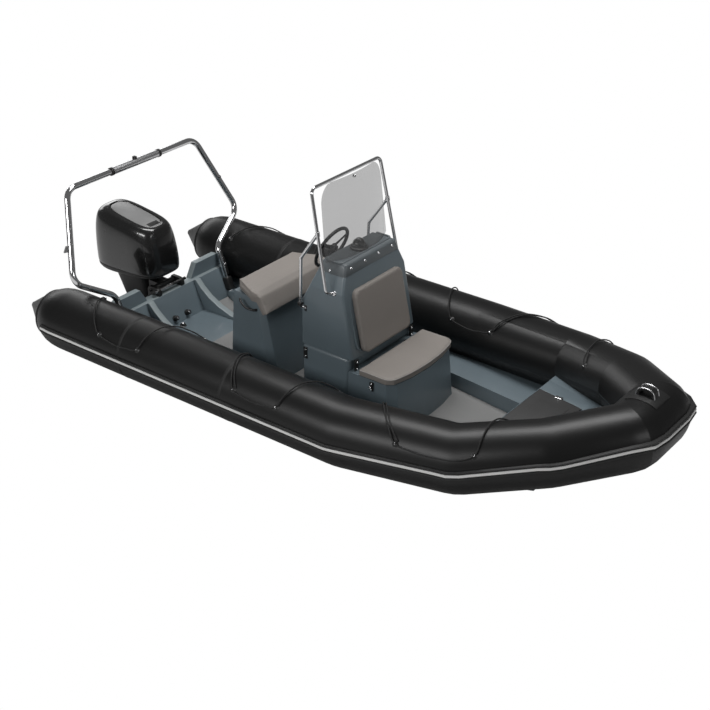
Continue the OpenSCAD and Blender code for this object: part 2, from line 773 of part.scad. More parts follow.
hull_bottom();
side_moulding_starboard();
side_moulding_port();
deck_floor();
transom();
transom_knees();
starboard_tube();
port_tube();
bow_tube();
rubbing_strake();
line_anchors();
grab_line_starboard();
grab_line_port();
roll_bar();
roll_bar_sleeve();
helm_seat_base();
helm_seat_cushion();
hinge_lugs();
console_base();
console_shell();
backrest_cushion();
windscreen_frame();
windscreen();
side_rails();
compass();
steering_wheel();
front_seat_box();
front_seat_cushion();
bow_locker();
bow_hatch();
bow_handle();
bow_eye();
stern_eyes();
clamp_bracket();
swivel_bracket();
motor_leg();
lower_unit();
motor_pan();
cowling();
engine_block();
propeller();
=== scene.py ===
# %% [markdown]
# # A rigid inflatable boat
# The construction is already made: every solid sits at its real place and size, in metres, with
# +X to the bow, +Y to port and the waterline at z = 0. This lesson dresses that frame. Each step
# first says what the piece is on the real boat, then how it can be made in Blender and why this
# way was picked.

# %% Load the frame
import bmesh
import bpy
import math
from mathutils import Matrix, Vector


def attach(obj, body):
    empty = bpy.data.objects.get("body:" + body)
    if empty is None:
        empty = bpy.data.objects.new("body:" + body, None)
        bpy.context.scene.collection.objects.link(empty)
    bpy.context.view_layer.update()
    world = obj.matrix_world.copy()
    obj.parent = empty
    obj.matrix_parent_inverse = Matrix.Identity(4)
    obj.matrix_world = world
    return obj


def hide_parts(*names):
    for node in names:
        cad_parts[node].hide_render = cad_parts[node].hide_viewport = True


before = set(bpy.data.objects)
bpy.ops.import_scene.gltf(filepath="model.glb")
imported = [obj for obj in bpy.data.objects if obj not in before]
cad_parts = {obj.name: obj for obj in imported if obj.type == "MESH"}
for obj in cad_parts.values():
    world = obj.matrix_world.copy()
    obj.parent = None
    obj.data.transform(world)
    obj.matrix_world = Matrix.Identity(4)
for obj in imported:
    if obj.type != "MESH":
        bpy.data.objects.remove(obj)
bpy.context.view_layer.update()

# %% [markdown]
# ## The camera
# The boat is seen from ahead of its starboard side, from well above. A long lens flattens the
# perspective, so the camera stands far off. Its place and its two angles are all it needs.

# %% Camera
CAMERA_PLACE = (7.651, -7.350, 5.408)
AZIMUTH, ELEVATION = math.radians(37.51), math.radians(28.94)
camera = bpy.data.objects.new("camera", bpy.data.cameras.new("camera"))
bpy.context.scene.collection.objects.link(camera)
bpy.context.scene.camera = camera
backward = Vector((math.sin(AZIMUTH) * math.cos(ELEVATION),
                   -math.cos(AZIMUTH) * math.cos(ELEVATION), math.sin(ELEVATION)))
camera.location = CAMERA_PLACE
camera.rotation_euler = (-backward).to_track_quat("-Z", "Y").to_euler()
camera.data.sensor_width = 36
camera.data.lens = 69.77
camera.data.clip_end = 200
print("camera lens:", camera.data.lens, "mm")

# %% [markdown]
# ## Wiring finishes as sums
# A procedural finish is a small network of nodes. Wiring each Math node by hand hides the idea,
# so one small class wraps an output socket and lets Python's own operators add the nodes:
# `0.3 + grain * 0.1` reads as what it means. Every other node comes from one method.

# %% A finish that can be written as sums
class Signal:
    """An output socket that can stand in a Python expression."""

    def __init__(self, tree, socket):
        self.tree, self.socket = tree, socket

    def maths(self, operation, other, swapped=False):
        made = self.tree.nodes.new("ShaderNodeMath")
        made.operation = operation
        pair = (other, self) if swapped else (self, other)
        for place, value in zip(made.inputs, pair):
            plug(self.tree, place, value)
        return Signal(self.tree, made.outputs[0])

    def __add__(self, other): return self.maths("ADD", other)
    def __radd__(self, other): return self.maths("ADD", other, True)
    def __sub__(self, other): return self.maths("SUBTRACT", other)
    def __rsub__(self, other): return self.maths("SUBTRACT", other, True)
    def __mul__(self, other): return self.maths("MULTIPLY", other)
    def __rmul__(self, other): return self.maths("MULTIPLY", other, True)
    def __gt__(self, other): return self.maths("GREATER_THAN", other)
    def __lt__(self, other): return self.maths("LESS_THAN", other)


def plug(tree, place, value):
    """Put a number, a colour or a Signal into an input socket."""
    if isinstance(value, Signal):
        tree.links.new(value.socket, place)
    elif isinstance(value, (tuple, list)) and len(value) == 3 and place.type == "RGBA":
        place.default_value = (*value, 1)
    else:
        place.default_value = value


class Finish:
    """One material, its Principled shader and its object coordinates."""

    def __init__(self, name, **constants):
        self.material = bpy.data.materials.new(name)
        self.material.use_nodes = True
        self.tree = self.material.node_tree
        self.shader = self.tree.nodes["Principled BSDF"]
        self.place = self.node("TexCoord", output="Object")
        for socket, value in constants.items():
            self.set(socket.replace("_", " "), value)

    def node(self, kind, settings=(), output=0, **inputs):
        made = self.tree.nodes.new("ShaderNode" + kind)
        for key, value in dict(settings).items():
            setattr(made, key, value)
        for key, value in inputs.items():
            name = key.replace("_", " ")
            place = made.inputs[int(key[1:])] if key[1:].isdigit() else made.inputs[name]
            plug(self.tree, place, value)
        return Signal(self.tree, made.outputs[output])

    def set(self, socket, value):
        plug(self.tree, self.shader.inputs[socket], value)

    def noise(self, scale, detail=3, stretch=None):
        where = self.place
        if stretch:
            where = self.node("Mapping", Vector=self.place, Scale=stretch)
        return self.node("TexNoise", Vector=where, Scale=scale, Detail=detail)

    def blend(self, amount, first, second):
        return self.node("Mix", {"data_type": "RGBA"}, output=2, Factor=amount,
                         _6=first, _7=second)

    def bump(self, height, strength, depth):
        self.set("Normal", self.node("Bump", Strength=strength, Distance=depth, Height=height))


def shade(colour, factor):
    return tuple(min(1, c * factor) for c in colour)


# %% [markdown]
# ## The finishes
# Satin coated fabric, slate gelcoat, non-skid deck, marine vinyl, polished steel and glossy
# paint make up the whole boat. Each one gets broad, slow noise that shifts its colour a little,
# and all but the steel and the acrylic get fine noise that only bends the light, because real surfaces
# are never one flat value.

# %% Gelcoat, deck and vinyl
GELCOAT = (0.122, 0.156, 0.176)
DECK = (0.235, 0.235, 0.232)
VINYL = (0.235, 0.214, 0.196)


def make_gelcoat(name, colour, coat=0.35):
    finish = Finish(name, Coat_Roughness=0.12)
    clouds = finish.noise(2.2, 4)
    scuffs = finish.noise(38, 6, (1, 1, 0.35))
    finish.set("Base Color", finish.blend(clouds, shade(colour, 0.88), shade(colour, 1.13)))
    finish.set("Roughness", 0.34 + scuffs * 0.16)
    finish.set("Coat Weight", coat - clouds * 0.1)
    finish.bump(finish.noise(260, 2) + finish.noise(9, 2) * 2, 0.12, 0.0006)
    return finish.material


def make_nonskid():
    finish = Finish("nonskid_deck", Specular_IOR_Level=0.3)
    cells = finish.node("TexVoronoi", {"feature": "DISTANCE_TO_EDGE"}, Vector=finish.place,
                        Scale=210)
    wear = finish.noise(3.1, 5)
    finish.set("Base Color", finish.blend(wear, shade(DECK, 0.86), shade(DECK, 1.12)))
    finish.set("Roughness", 0.62 + wear * 0.18)
    finish.bump((cells > 0.12) + finish.noise(700, 2) * 0.4, 0.5, 0.0011)
    return finish.material


def make_vinyl(name, colour):
    finish = Finish(name, Specular_IOR_Level=0.42)
    clouds = finish.noise(3.5, 3)
    grain = finish.node("TexVoronoi", {"feature": "SMOOTH_F1"}, Vector=finish.place, Scale=420)
    finish.set("Base Color", finish.blend(clouds, shade(colour, 0.94), shade(colour, 1.07)))
    finish.set("Roughness", 0.50 + clouds * 0.10 + grain * 0.12)
    finish.bump(grain + finish.noise(24, 3) * 1.5, 0.35, 0.0012)
    return finish.material


gelcoat = make_gelcoat("slate_gelcoat", GELCOAT)
# A lighter copy of the slate gelcoat: a painted highlight for faces that look up into the overhead
# light.
painted_highlight_gelcoat = make_gelcoat("light_slate_gelcoat", (0.215, 0.252, 0.262), 0.25)
console_band = make_gelcoat("console_band", (0.112, 0.128, 0.137), 0.15)
nonskid = make_nonskid()
vinyl = make_vinyl("warm_grey_vinyl", VINYL)
print("moulded and sewn finishes ready")

# %% [markdown]
# ## Rubber, rope, steel and paint
# The tube fabric is a weave under a satin coat, so its highlight is wide and soft with a faint
# grain. Steel is mirror bright with faint streaks in its polish. The motor is black paint under a
# clear coat, which keeps the colour dark and puts all of the light in the reflection.

# %% Rubber, rope, steel, plastic and paint
def make_fabric(name, colour, rough=0.46):
    finish = Finish(name, Specular_IOR_Level=0.4)
    broad = finish.noise(1.6, 4)
    weave = finish.noise(900, 2)
    finish.set("Base Color", finish.blend(broad, shade(colour, 0.85), shade(colour, 1.2)))
    finish.set("Roughness", rough + broad * 0.08 + weave * 0.05)
    finish.bump(weave + finish.noise(5, 4) * 6, 0.18, 0.0007)
    return finish.material


def make_metal(name, colour, rough, along=(1, 1, 1)):
    finish = Finish(name, Metallic=1.0)
    streaks = finish.noise(90, 4, along)
    finish.set("Base Color", finish.blend(streaks, shade(colour, 0.92), colour))
    finish.set("Roughness", rough + streaks * 0.07)
    return finish.material


def make_plastic(name, colour, rough, grain=300, coat=0.0):
    finish = Finish(name, Coat_Weight=coat, Coat_Roughness=0.05)
    broad = finish.noise(6, 3)
    finish.set("Base Color", finish.blend(broad, shade(colour, 0.85), shade(colour, 1.15)))
    finish.set("Roughness", rough + broad * 0.08)
    finish.bump(finish.noise(grain, 2), 0.15, 0.0005)
    return finish.material


def make_rope():
    finish = Finish("black_laid_rope", Specular_IOR_Level=0.3)
    fibres = finish.noise(1400, 2)
    finish.set("Base Color", finish.blend(fibres, (0.006, 0.006, 0.006), (0.03, 0.03, 0.03)))
    finish.set("Roughness", 0.6 + fibres * 0.2)
    finish.bump(fibres, 0.3, 0.0004)
    return finish.material


def make_glass():
    finish = Finish("tinted_acrylic", Roughness=0.04, IOR=1.49,
                    Specular_IOR_Level=0.2)
    tint = finish.noise(1.3, 2)
    finish.set("Base Color", finish.blend(tint, (0.13, 0.132, 0.133), (0.16, 0.16, 0.16)))
    finish.set("Alpha", 0.345 + tint * 0.03)
    return finish.material


fabric = make_fabric("black_tube_fabric", (0.005, 0.005, 0.005), 0.31)
seam_tape = make_fabric("seam_tape", (0.010, 0.010, 0.010), 0.52)
strake_rubber = make_fabric("strake_rubber", (0.014, 0.014, 0.014), 0.5)
strake_grey = make_plastic("strake_stripe", (0.74, 0.74, 0.73), 0.42)
rope = make_rope()
steel = make_metal("polished_steel", (0.88, 0.88, 0.89), 0.06)
brushed = make_metal("brushed_steel", (0.75, 0.75, 0.76), 0.24, (1, 0.03, 1))
black_plastic = make_plastic("black_plastic", (0.012, 0.012, 0.012), 0.38)
hatch_plastic = make_plastic("charcoal_plastic", (0.036, 0.036, 0.036), 0.5)
gloss_black = make_plastic("gloss_black_paint", (0.006, 0.006, 0.006), 0.22, 40, 1.0)
satin_black = make_plastic("satin_black_paint", (0.010, 0.010, 0.010), 0.36)
motor_grey = make_plastic("motor_grey", (0.24, 0.24, 0.24), 0.35)
acrylic = make_glass()
print("finishes:", len(bpy.data.materials))

# %% [markdown]
# ## Small tools for shapes
# Most pieces are rings of points joined by faces: a tube, a rope or a casing is the same
# algorithm with other rings. A few helpers make the mesh, point its faces outwards, bake its
# modifiers and hand it to the body it moves with.

# %% Helpers for meshes
def mesh_object(name, points, faces, material, smooth_angle=35):
    mesh = bpy.data.meshes.new(name)
    mesh.from_pydata([tuple(p) for p in points], [], faces)
    return finish_mesh(bpy.data.objects.new(name, mesh), material, smooth_angle)


def finish_mesh(piece, material, smooth_angle=35):
    """Merge doubles, turn the faces outwards, shade and link the piece."""
    if not piece.users_collection:
        bpy.context.scene.collection.objects.link(piece)
    work = bmesh.new()
    work.from_mesh(piece.data)
    bmesh.ops.remove_doubles(work, verts=work.verts, dist=1e-5)
    bmesh.ops.recalc_face_normals(work, faces=work.faces)
    work.to_mesh(piece.data)
    work.free()
    piece.data.polygons.foreach_set("use_smooth", [True] * len(piece.data.polygons))
    piece.data.set_sharp_from_angle(angle=math.radians(smooth_angle))
    if material is not None:
        piece.data.materials.clear()
        piece.data.materials.append(material)
    return piece


def bake(piece):
    """Turn a piece and its modifiers into a plain mesh."""
    bpy.context.view_layer.update()
    graph = bpy.context.evaluated_depsgraph_get()
    plain = bpy.data.meshes.new_from_object(piece.evaluated_get(graph))
    plain.name = piece.name
    piece.modifiers.clear()
    piece.data = plain
    return piece


def skin(rings, capped=True, closed=False):
    """Points and faces over rings that all have the same number of points."""
    n = len(rings[0])
    points = [p for ring in rings for p in ring]
    faces = []
    rows = len(rings) if closed else len(rings) - 1
    for i in range(rows):
        a, b = i * n, (i + 1) % len(rings) * n
        faces += [(a + k, a + (k + 1) % n, b + (k + 1) % n, b + k) for k in range(n)]
    if capped and not closed:
        faces += [tuple(range(n))[::-1], tuple(range((len(rings) - 1) * n, len(rings) * n))]
    return points, faces


def place(piece, body, slot, *replaced):
    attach(piece, body)
    if replaced:
        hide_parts(*replaced)
    return piece


def smooth_path(points, per_span=8):
    """A Catmull-Rom curve through the points."""
    points = [Vector(p) for p in points]
    padded = [2 * points[0] - points[1], *points, 2 * points[-1] - points[-2]]
    path = []
    for a, b, c, d in zip(padded, padded[1:], padded[2:], padded[3:]):
        for i in range(per_span):
            t = i / per_span
            path.append(0.5 * (2 * b + (c - a) * t + (2 * a - 5 * b + 4 * c - d) * t * t
                               + (3 * b - a - 3 * c + d) * t ** 3))
    return path + [points[-1]]


def bent_path(points, radius, steps=8):
    """Straight runs joined by round bends of one radius."""
    points = [Vector(p) for p in points]
    path = [points[0]]
    for a, p, b in zip(points, points[1:], points[2:]):
        u, v = (a - p).normalized(), (b - p).normalized()
        half = u.angle(v) / 2
        cut = min(radius / math.tan(half), 0.45 * (a - p).length, 0.45 * (b - p).length)
        r = cut * math.tan(half)
        centre = p + (u + v).normalized() * (r / math.sin(half))
        for i in range(steps + 1):
            chord = (p + u * cut).lerp(p + v * cut, i / steps)
            path.append(centre + (chord - centre).normalized() * r)
    return path + [points[-1]]


def frames_along(path, first=(0, 0, 1)):
    """A forward and a side direction at each point, carried along without twist."""
    side, result = Vector(first), []
    for i, p in enumerate(path):
        ahead = (path[min(i + 1, len(path) - 1)] - path[max(i - 1, 0)]).normalized()
        side = (side - side.dot(ahead) * ahead).normalized()
        result.append((ahead, side.copy()))
    return result


def round_bar(name, path, radius, material, sides=20, first=(0, 0, 1)):
    """A bar swept along a path; radius is a number or one value for each point."""
    radii = radius if isinstance(radius, list) else [radius] * len(path)
    rings = []
    for p, r, (ahead, side) in zip(path, radii, frames_along(path, first)):
        across = ahead.cross(side)
        rings.append([p + r * (math.cos(a) * side + math.sin(a) * across)
                      for a in (2 * math.pi * k / sides for k in range(sides))])
    return mesh_object(name, *skin(rings), material)


def turned(name, outline, origin, axis, material, sides=48):
    """A turned part: outline is (distance along the axis, radius)."""
    turn = Vector(axis).normalized().to_track_quat("Z", "Y").to_matrix()
    origin = Vector(origin)
    rings = [[origin + turn @ Vector((r * math.cos(a), r * math.sin(a), h))
              for a in (2 * math.pi * k / sides for k in range(sides))]
             for h, r in outline]
    return mesh_object(name, *skin(rings), material)


def joined(name, parts):
    """Several pieces made one, with their materials kept."""
    with bpy.context.temp_override(active_object=parts[0], selected_editable_objects=parts,
                                   object=parts[0], selected_objects=parts):
        bpy.ops.object.join()
    parts[0].name = parts[0].data.name = name
    return parts[0]


print("shape helpers ready")

# %% [markdown]
# ## Rounded mouldings
# Glass-fibre mouldings leave their mould with soft edges, and those edges catch the light. The
# frame's solids have the right size but knife edges, so each one is copied, its triangles are
# merged back into flat faces, and a Bevel rounds every edge. The original is then hidden. Faces
# that look up between two heights get a lighter gelcoat: a painted highlight where the overhead light
# falls on the flanges.

# %% Round the moulded solids
def copy_node(node, name, cut=None, flat=2.5):
    """A merged copy of a frame solid; cut is a plane (point, normal) whose far side is kept."""
    piece = bpy.data.objects.new(name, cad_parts[node].data.copy())
    bpy.context.scene.collection.objects.link(piece)
    work = bmesh.new()
    work.from_mesh(piece.data)
    bmesh.ops.remove_doubles(work, verts=work.verts, dist=2e-5)
    if cut:
        everything = work.verts[:] + work.edges[:] + work.faces[:]
        bmesh.ops.bisect_plane(work, geom=everything, plane_co=cut[0], plane_no=cut[1],
                               clear_inner=True)
        rim = [e for e in work.edges if e.is_boundary]
        bmesh.ops.contextual_create(work, geom=rim)
    bmesh.ops.dissolve_limit(work, angle_limit=math.radians(flat), verts=work.verts,
                             edges=work.edges)
    work.to_mesh(piece.data)
    work.free()
    return piece


def rounded(node, name, radius, material, segments=4, body="boat", slot="gelcoat",
            smooth_angle=32, cut=None, flat=2.5):
    piece = copy_node(node, name, cut, flat)
    edge = piece.modifiers.new("round", "BEVEL")
    edge.width, edge.segments = radius, segments
    edge.limit_method, edge.angle_limit = "ANGLE", math.radians(22)
    edge.use_clamp_overlap = True
    bake(piece)
    finish_mesh(piece, material, smooth_angle)
    return place(piece, body, slot, node)


def paint_highlight_on_tops(piece, material, low, high):
    """Paint a highlight: the upward faces between two heights get a lighter gelcoat."""
    piece.data.materials.append(material)
    for face in piece.data.polygons:
        if low < face.center.z < high and face.normal.z > 0.3:
            face.material_index = 1


MOULDED = [
    # node, edge radius, material, slot
    ("hull_bottom", 0.010, gelcoat, "gelcoat"),
    ("side_moulding_starboard", 0.016, gelcoat, "gelcoat"),
    ("side_moulding_port", 0.016, gelcoat, "gelcoat"),
    ("deck_floor", 0.003, nonskid, "nonskid"),
    ("transom", 0.014, gelcoat, "gelcoat"),
    ("transom_knees", 0.016, gelcoat, "gelcoat"),
    ("helm_seat_base", 0.032, gelcoat, "gelcoat"),
    ("console_base", 0.030, gelcoat, "gelcoat"),
    ("console_shell", 0.004, gelcoat, "gelcoat"),
    ("front_seat_box", 0.020, gelcoat, "gelcoat"),
]
for node, radius, material, slot in MOULDED:
    piece = rounded(node, node + "_moulding", radius, material, slot=slot)
    # The tops of the knees and of the transom get the painted highlight.
    if node == "transom_knees":
        paint_highlight_on_tops(piece, painted_highlight_gelcoat, 0.02, 0.30)
    if node == "transom":
        paint_highlight_on_tops(piece, painted_highlight_gelcoat, 0.235, 0.40)
    print(node, len(piece.data.polygons), "faces")

rounded("bow_locker", "bow_locker_moulding", 0.0015, gelcoat, 2, flat=0.2)

# %% [markdown]
# ## Screws, rings and studs
# Hardware repeats, so one Geometry Nodes tree sets it all: it takes a cloud of points that each
# know which way is out, puts one part on every point, turns it to that direction, and gives each
# a small seeded spin, because no fitter lines up the slots.

# %% A tree that sets fasteners on points
def fastener_tree():
    tree = bpy.data.node_groups.new("fasteners", "GeometryNodeTree")
    face = tree.interface
    for name, kind in (("Points", "Geometry"), ("Part", "Object"), ("Size", "Float"),
                       ("Spin", "Float"), ("Finish", "Material")):
        face.new_socket(name, in_out="INPUT", socket_type="NodeSocket" + kind)
    face.new_socket("Result", in_out="OUTPUT", socket_type="NodeSocketGeometry")
    new, link = tree.nodes.new, tree.links.new
    start, end = new("NodeGroupInput"), new("NodeGroupOutput")
    part, out = new("GeometryNodeObjectInfo"), new("GeometryNodeInputNamedAttribute")
    turn, spin = new("FunctionNodeAlignRotationToVector"), new("FunctionNodeRandomValue")
    put, roll = new("GeometryNodeInstanceOnPoints"), new("GeometryNodeRotateInstances")
    axes, real = new("ShaderNodeCombineXYZ"), new("GeometryNodeRealizeInstances")
    paint = new("GeometryNodeSetMaterial")
    out.data_type = "FLOAT_VECTOR"
    out.inputs["Name"].default_value = "outward"
    turn.axis = "Z"
    spin.data_type = "FLOAT"
    spin.inputs["Seed"].default_value = 7
    link(start.outputs["Points"], put.inputs["Points"])
    link(start.outputs["Part"], part.inputs["Object"])
    link(part.outputs["Geometry"], put.inputs["Instance"])
    link(out.outputs["Attribute"], turn.inputs["Vector"])
    link(turn.outputs["Rotation"], put.inputs["Rotation"])
    link(start.outputs["Size"], put.inputs["Scale"])
    link(start.outputs["Spin"], spin.inputs[3])
    link(spin.outputs[1], axes.inputs["Z"])
    link(put.outputs["Instances"], roll.inputs["Instances"])
    link(axes.outputs[0], roll.inputs["Rotation"])
    link(roll.outputs["Instances"], real.inputs["Geometry"])
    link(real.outputs["Geometry"], paint.inputs["Geometry"])
    link(start.outputs["Finish"], paint.inputs["Material"])
    link(paint.outputs["Geometry"], end.inputs["Result"])
    return tree


FASTENERS = fastener_tree()


def fasten(name, spots, part, material, body, slot, size=1.0, spin=6.28, *replaced):
    """Put a part on each (place, outward direction)."""
    mesh = bpy.data.meshes.new(name)
    mesh.from_pydata([tuple(p) for p, _ in spots], [], [])
    outward = mesh.attributes.new("outward", "FLOAT_VECTOR", "POINT")
    for value, (_, direction) in zip(outward.data, spots):
        value.vector = Vector(direction).normalized()
    piece = bpy.data.objects.new(name, mesh)
    bpy.context.scene.collection.objects.link(piece)
    tool = piece.modifiers.new("fasteners", "NODES")
    tool.node_group = FASTENERS
    inputs = {item.name: item.identifier for item in FASTENERS.interface.items_tree
              if item.in_out == "INPUT"}
    tool[inputs["Part"]], tool[inputs["Size"]] = part, size
    tool[inputs["Spin"]], tool[inputs["Finish"]] = spin, material
    bake(piece)
    finish_mesh(piece, material)
    return place(piece, body, slot, *replaced)


def ring_part(name, big, small, lift):
    """A standing ring: a closed bar round a circle."""
    rings = []
    for i in range(24):
        a = 2 * math.pi * i / 24
        centre = Vector((big * math.cos(a), 0, lift + big * math.sin(a)))
        away = Vector((math.cos(a), 0, math.sin(a)))
        rings.append([centre + small * (math.cos(b) * away + math.sin(b) * Vector((0, 1, 0)))
                      for b in (2 * math.pi * k / 10 for k in range(10))])
    return mesh_object(name, *skin(rings, capped=False, closed=True), steel)


screw = turned("screw_part", [(-0.002, 0.0085), (0, 0.009), (0.0025, 0.0078), (0.004, 0.0045),
                              (0.004, 0.003), (0.0025, 0.0026)], (0, 0, 0), (0, 0, 1), steel, 24)
anchor_base = turned("anchor_part", [(-0.003, 0.024), (0.002, 0.023), (0.004, 0.018),
                                     (0.008, 0.010), (0.010, 0.006)],
                     (0, 0, 0), (0, 0, 1), black_plastic, 24)
anchor_ring = ring_part("anchor_ring_part", 0.0085, 0.0028, 0.010)
PARTS = [screw, anchor_base, anchor_ring]
print("fastener tree:", len(FASTENERS.nodes), "nodes")

# %% [markdown]
# ## The tubes
# Each tube is a row of fabric cylinders glued at mitres, blown hard, with a cone at the stern.
# The line below holds the centre of each mitre and the tube's radius there. Extra rings beside
# each mitre keep the bend short and crisp, as a welded seam does, and the rest runs straight.

# %% Tubes
TUBE_LINE = [
    # x, y, z, radius: the port side from the stern cone's tip to the bow
    (-0.620, 0.925, 0.285, 0.016), (-0.616, 0.925, 0.285, 0.024), (-0.606, 0.925, 0.285, 0.030),
    (-0.595, 0.925, 0.285, 0.037),
    (-0.372, 0.925, 0.285, 0.186), (-0.358, 0.925, 0.285, 0.195), (-0.340, 0.925, 0.285, 0.205),
    (-0.310, 0.925, 0.285, 0.220), (-0.270, 0.925, 0.285, 0.235), (-0.220, 0.925, 0.285, 0.245),
    (-0.150, 0.925, 0.285, 0.250), (2.628, 0.925, 0.285, 0.250), (3.493, 0.816, 0.347, 0.240),
    (4.033, 0.558, 0.475, 0.231), (4.436, 0.196, 0.573, 0.232)]
TUBE_SIDES = 96
SEAM_BLEND = 0.035


def tube_stations():
    """Centre, radius and facing of each ring, with a short blend beside each mitre."""
    half = [(Vector(p[:3]), p[3]) for p in TUBE_LINE]
    whole = half + [(Vector((p.x, -p.y, p.z)), r) for p, r in reversed(half)]
    made = []
    for i, (p, r) in enumerate(whole):
        before = (p - whole[i - 1][0]).normalized() if i else None
        after = (whole[i + 1][0] - p).normalized() if i < len(whole) - 1 else None
        before, after = before or after, after or before
        bend = after - before
        if bend.length < 1e-4:
            made.append((p, r, before))
            continue
        for t in (-1, -0.5, 0, 0.5, 1):
            reach = SEAM_BLEND * t
            centre = p + (before if t < 0 else after) * reach
            centre += bend * SEAM_BLEND * 0.25 * (1 - t * t)
            made.append((centre, r, before.lerp(after, (t + 1) / 2).normalized()))
    return made


def tube_ring(centre, radius, lean, sides=TUBE_SIDES):
    up = Vector((0, 0, 1))
    side = (up - up.dot(lean) * lean).normalized()
    across = lean.cross(side)
    return [centre + radius * (math.cos(a) * side + math.sin(a) * across)
            for a in (2 * math.pi * k / sides for k in range(sides))]


stations = tube_stations()
rings = [tube_ring(*s) for s in stations]
bow_first = next(i for i, s in enumerate(stations) if s[0].x > 4.41) + 2
bow_last = len(rings) - 1 - bow_first
TUBES = [("port_tube_fabric", rings[:bow_first + 1], "port_tube"),
         ("bow_tube_fabric", rings[bow_first:bow_last + 1], "bow_tube"),
         ("starboard_tube_fabric", rings[bow_last:], "starboard_tube")]
for name, some, node in TUBES:
    piece = mesh_object(name, *skin(some), fabric, 50)
    place(piece, "boat", "tube_fabric", node)
    print(name, len(some), "rings")

# %% [markdown]
# ## Seam tapes
# Where two cylinders meet, a strip of the same fabric is glued over the joint. A strip is a short
# sleeve a millimetre larger than the tube: thin, but its two edges draw the seam's line.

# %% Seam tapes
def tape(centre, radius, lean, width):
    outer = [tube_ring(centre + lean * d, radius + lift, lean, 64)
             for d, lift in ((-width, 0.0002), (-width + 0.003, 0.0014), (width - 0.003, 0.0014),
                             (width, 0.0002))]
    return mesh_object("seam_tape", *skin(outer, capped=False), seam_tape, 50)


tapes = [tape(c, r, lean, 0.016) for c, r, lean in stations[1:-1]
         if (c - Vector((-0.358, math.copysign(0.925, c.y), 0.285))).length < 0.002]
for x in (0.62, 1.66):
    for y in (0.925, -0.925):
        tapes.append(tape(Vector((x, y, 0.285)), 0.25, Vector((1, 0, 0)), 0.014))
piece = joined("seam_tapes", tapes)
place(piece, "boat", "tube_fabric")
print("seam tapes:", len(tapes))

# %% [markdown]
# ## The rubbing strake
# The strake is an extruded rubber section glued round the tubes at their widest line: two black
# lips with a pale strip let in between. It is one cross-section carried along the tube's line and
# mitred at the corners, so three sections make three pieces: body, upper rib and pale strip.

# %% Rubbing strake
STRAKE_LINE = [
    # x, y, z, tube radius, height above the tube's middle
    (-0.250, 0.925, 0.285, 0.241, 0.0), (-0.150, 0.925, 0.285, 0.250, 0.0),
    (2.628, 0.925, 0.285, 0.250, 0.0), (3.493, 0.816, 0.347, 0.240, 0.017),
    (4.033, 0.558, 0.475, 0.231, 0.034), (4.436, 0.196, 0.573, 0.232, 0.057)]


def around_the_boat(section):
    """Rings of a section, (out from the tube, up), with each corner taken in three steps."""
    half = [(Vector((x, y, z + rise)), r) for x, y, z, r, rise in STRAKE_LINE]
    whole = half + [(Vector((p.x, -p.y, p.z)), r) for p, r in reversed(half)]
    rings = []
    for i, (p, r) in enumerate(whole):
        legs = [(whole[max(j, 0) + 1][0] - whole[max(j, 0)][0]).normalized()
                for j in (i - 1, min(i, len(whole) - 2))]
        outs = [Vector((leg.y * -1, leg.x, 0)).normalized() for leg in legs]
        stops = [(p, outs[0])]
        if legs[0].angle(legs[1]) > 0.1:
            stops = [(p - legs[0] * 0.05, outs[0]), (p, (outs[0] + outs[1]).normalized()),
                     (p + legs[1] * 0.05, outs[1])]
        for centre, out in stops:
            rings.append([centre + out * (r + a) + Vector((0, 0, b)) for a, b in section])
    return rings


STRAKE_BODY = [(-0.024, 0.030), (0.006, 0.031), (0.012, 0.028), (0.014, 0.020), (0.013, 0.0125),
               (0.009, 0.0115), (0.009, -0.0115), (0.013, -0.0125), (0.019, -0.016),
               (0.0215, -0.021), (0.020, -0.027), (0.012, -0.031), (-0.024, -0.031)]
STRAKE_RIB = [(0.010, 0.027), (0.0165, 0.0265), (0.0175, 0.024), (0.0165, 0.0215), (0.010, 0.021)]
STRAKE_STRIPE = [(0.007, 0.0105), (0.0145, 0.0100), (0.0175, 0.006), (0.0180, 0.0),
                 (0.0175, -0.006), (0.0145, -0.0100), (0.007, -0.0105)]
for name, section, material, replaced in (
        ("strake_body", STRAKE_BODY, strake_rubber, ("rubbing_strake",)),
        ("strake_rib", STRAKE_RIB, strake_rubber, ()),
        ("strake_stripe", STRAKE_STRIPE, strake_grey, ())):
    piece = mesh_object(name, *skin(around_the_boat(section)), material, 28)
    place(piece, "boat", "strake", *replaced)
print("strake:", len(around_the_boat(STRAKE_BODY)), "stations")

# %% [markdown]
# ## Grab lines
# A laid rope runs from ring to ring, hanging a little along the outside and arching over the
# tube. It stays tight, so it is rigging and not a loose cord. Three strands twist round each
# other: the section is a three-lobed ring that turns as it travels.

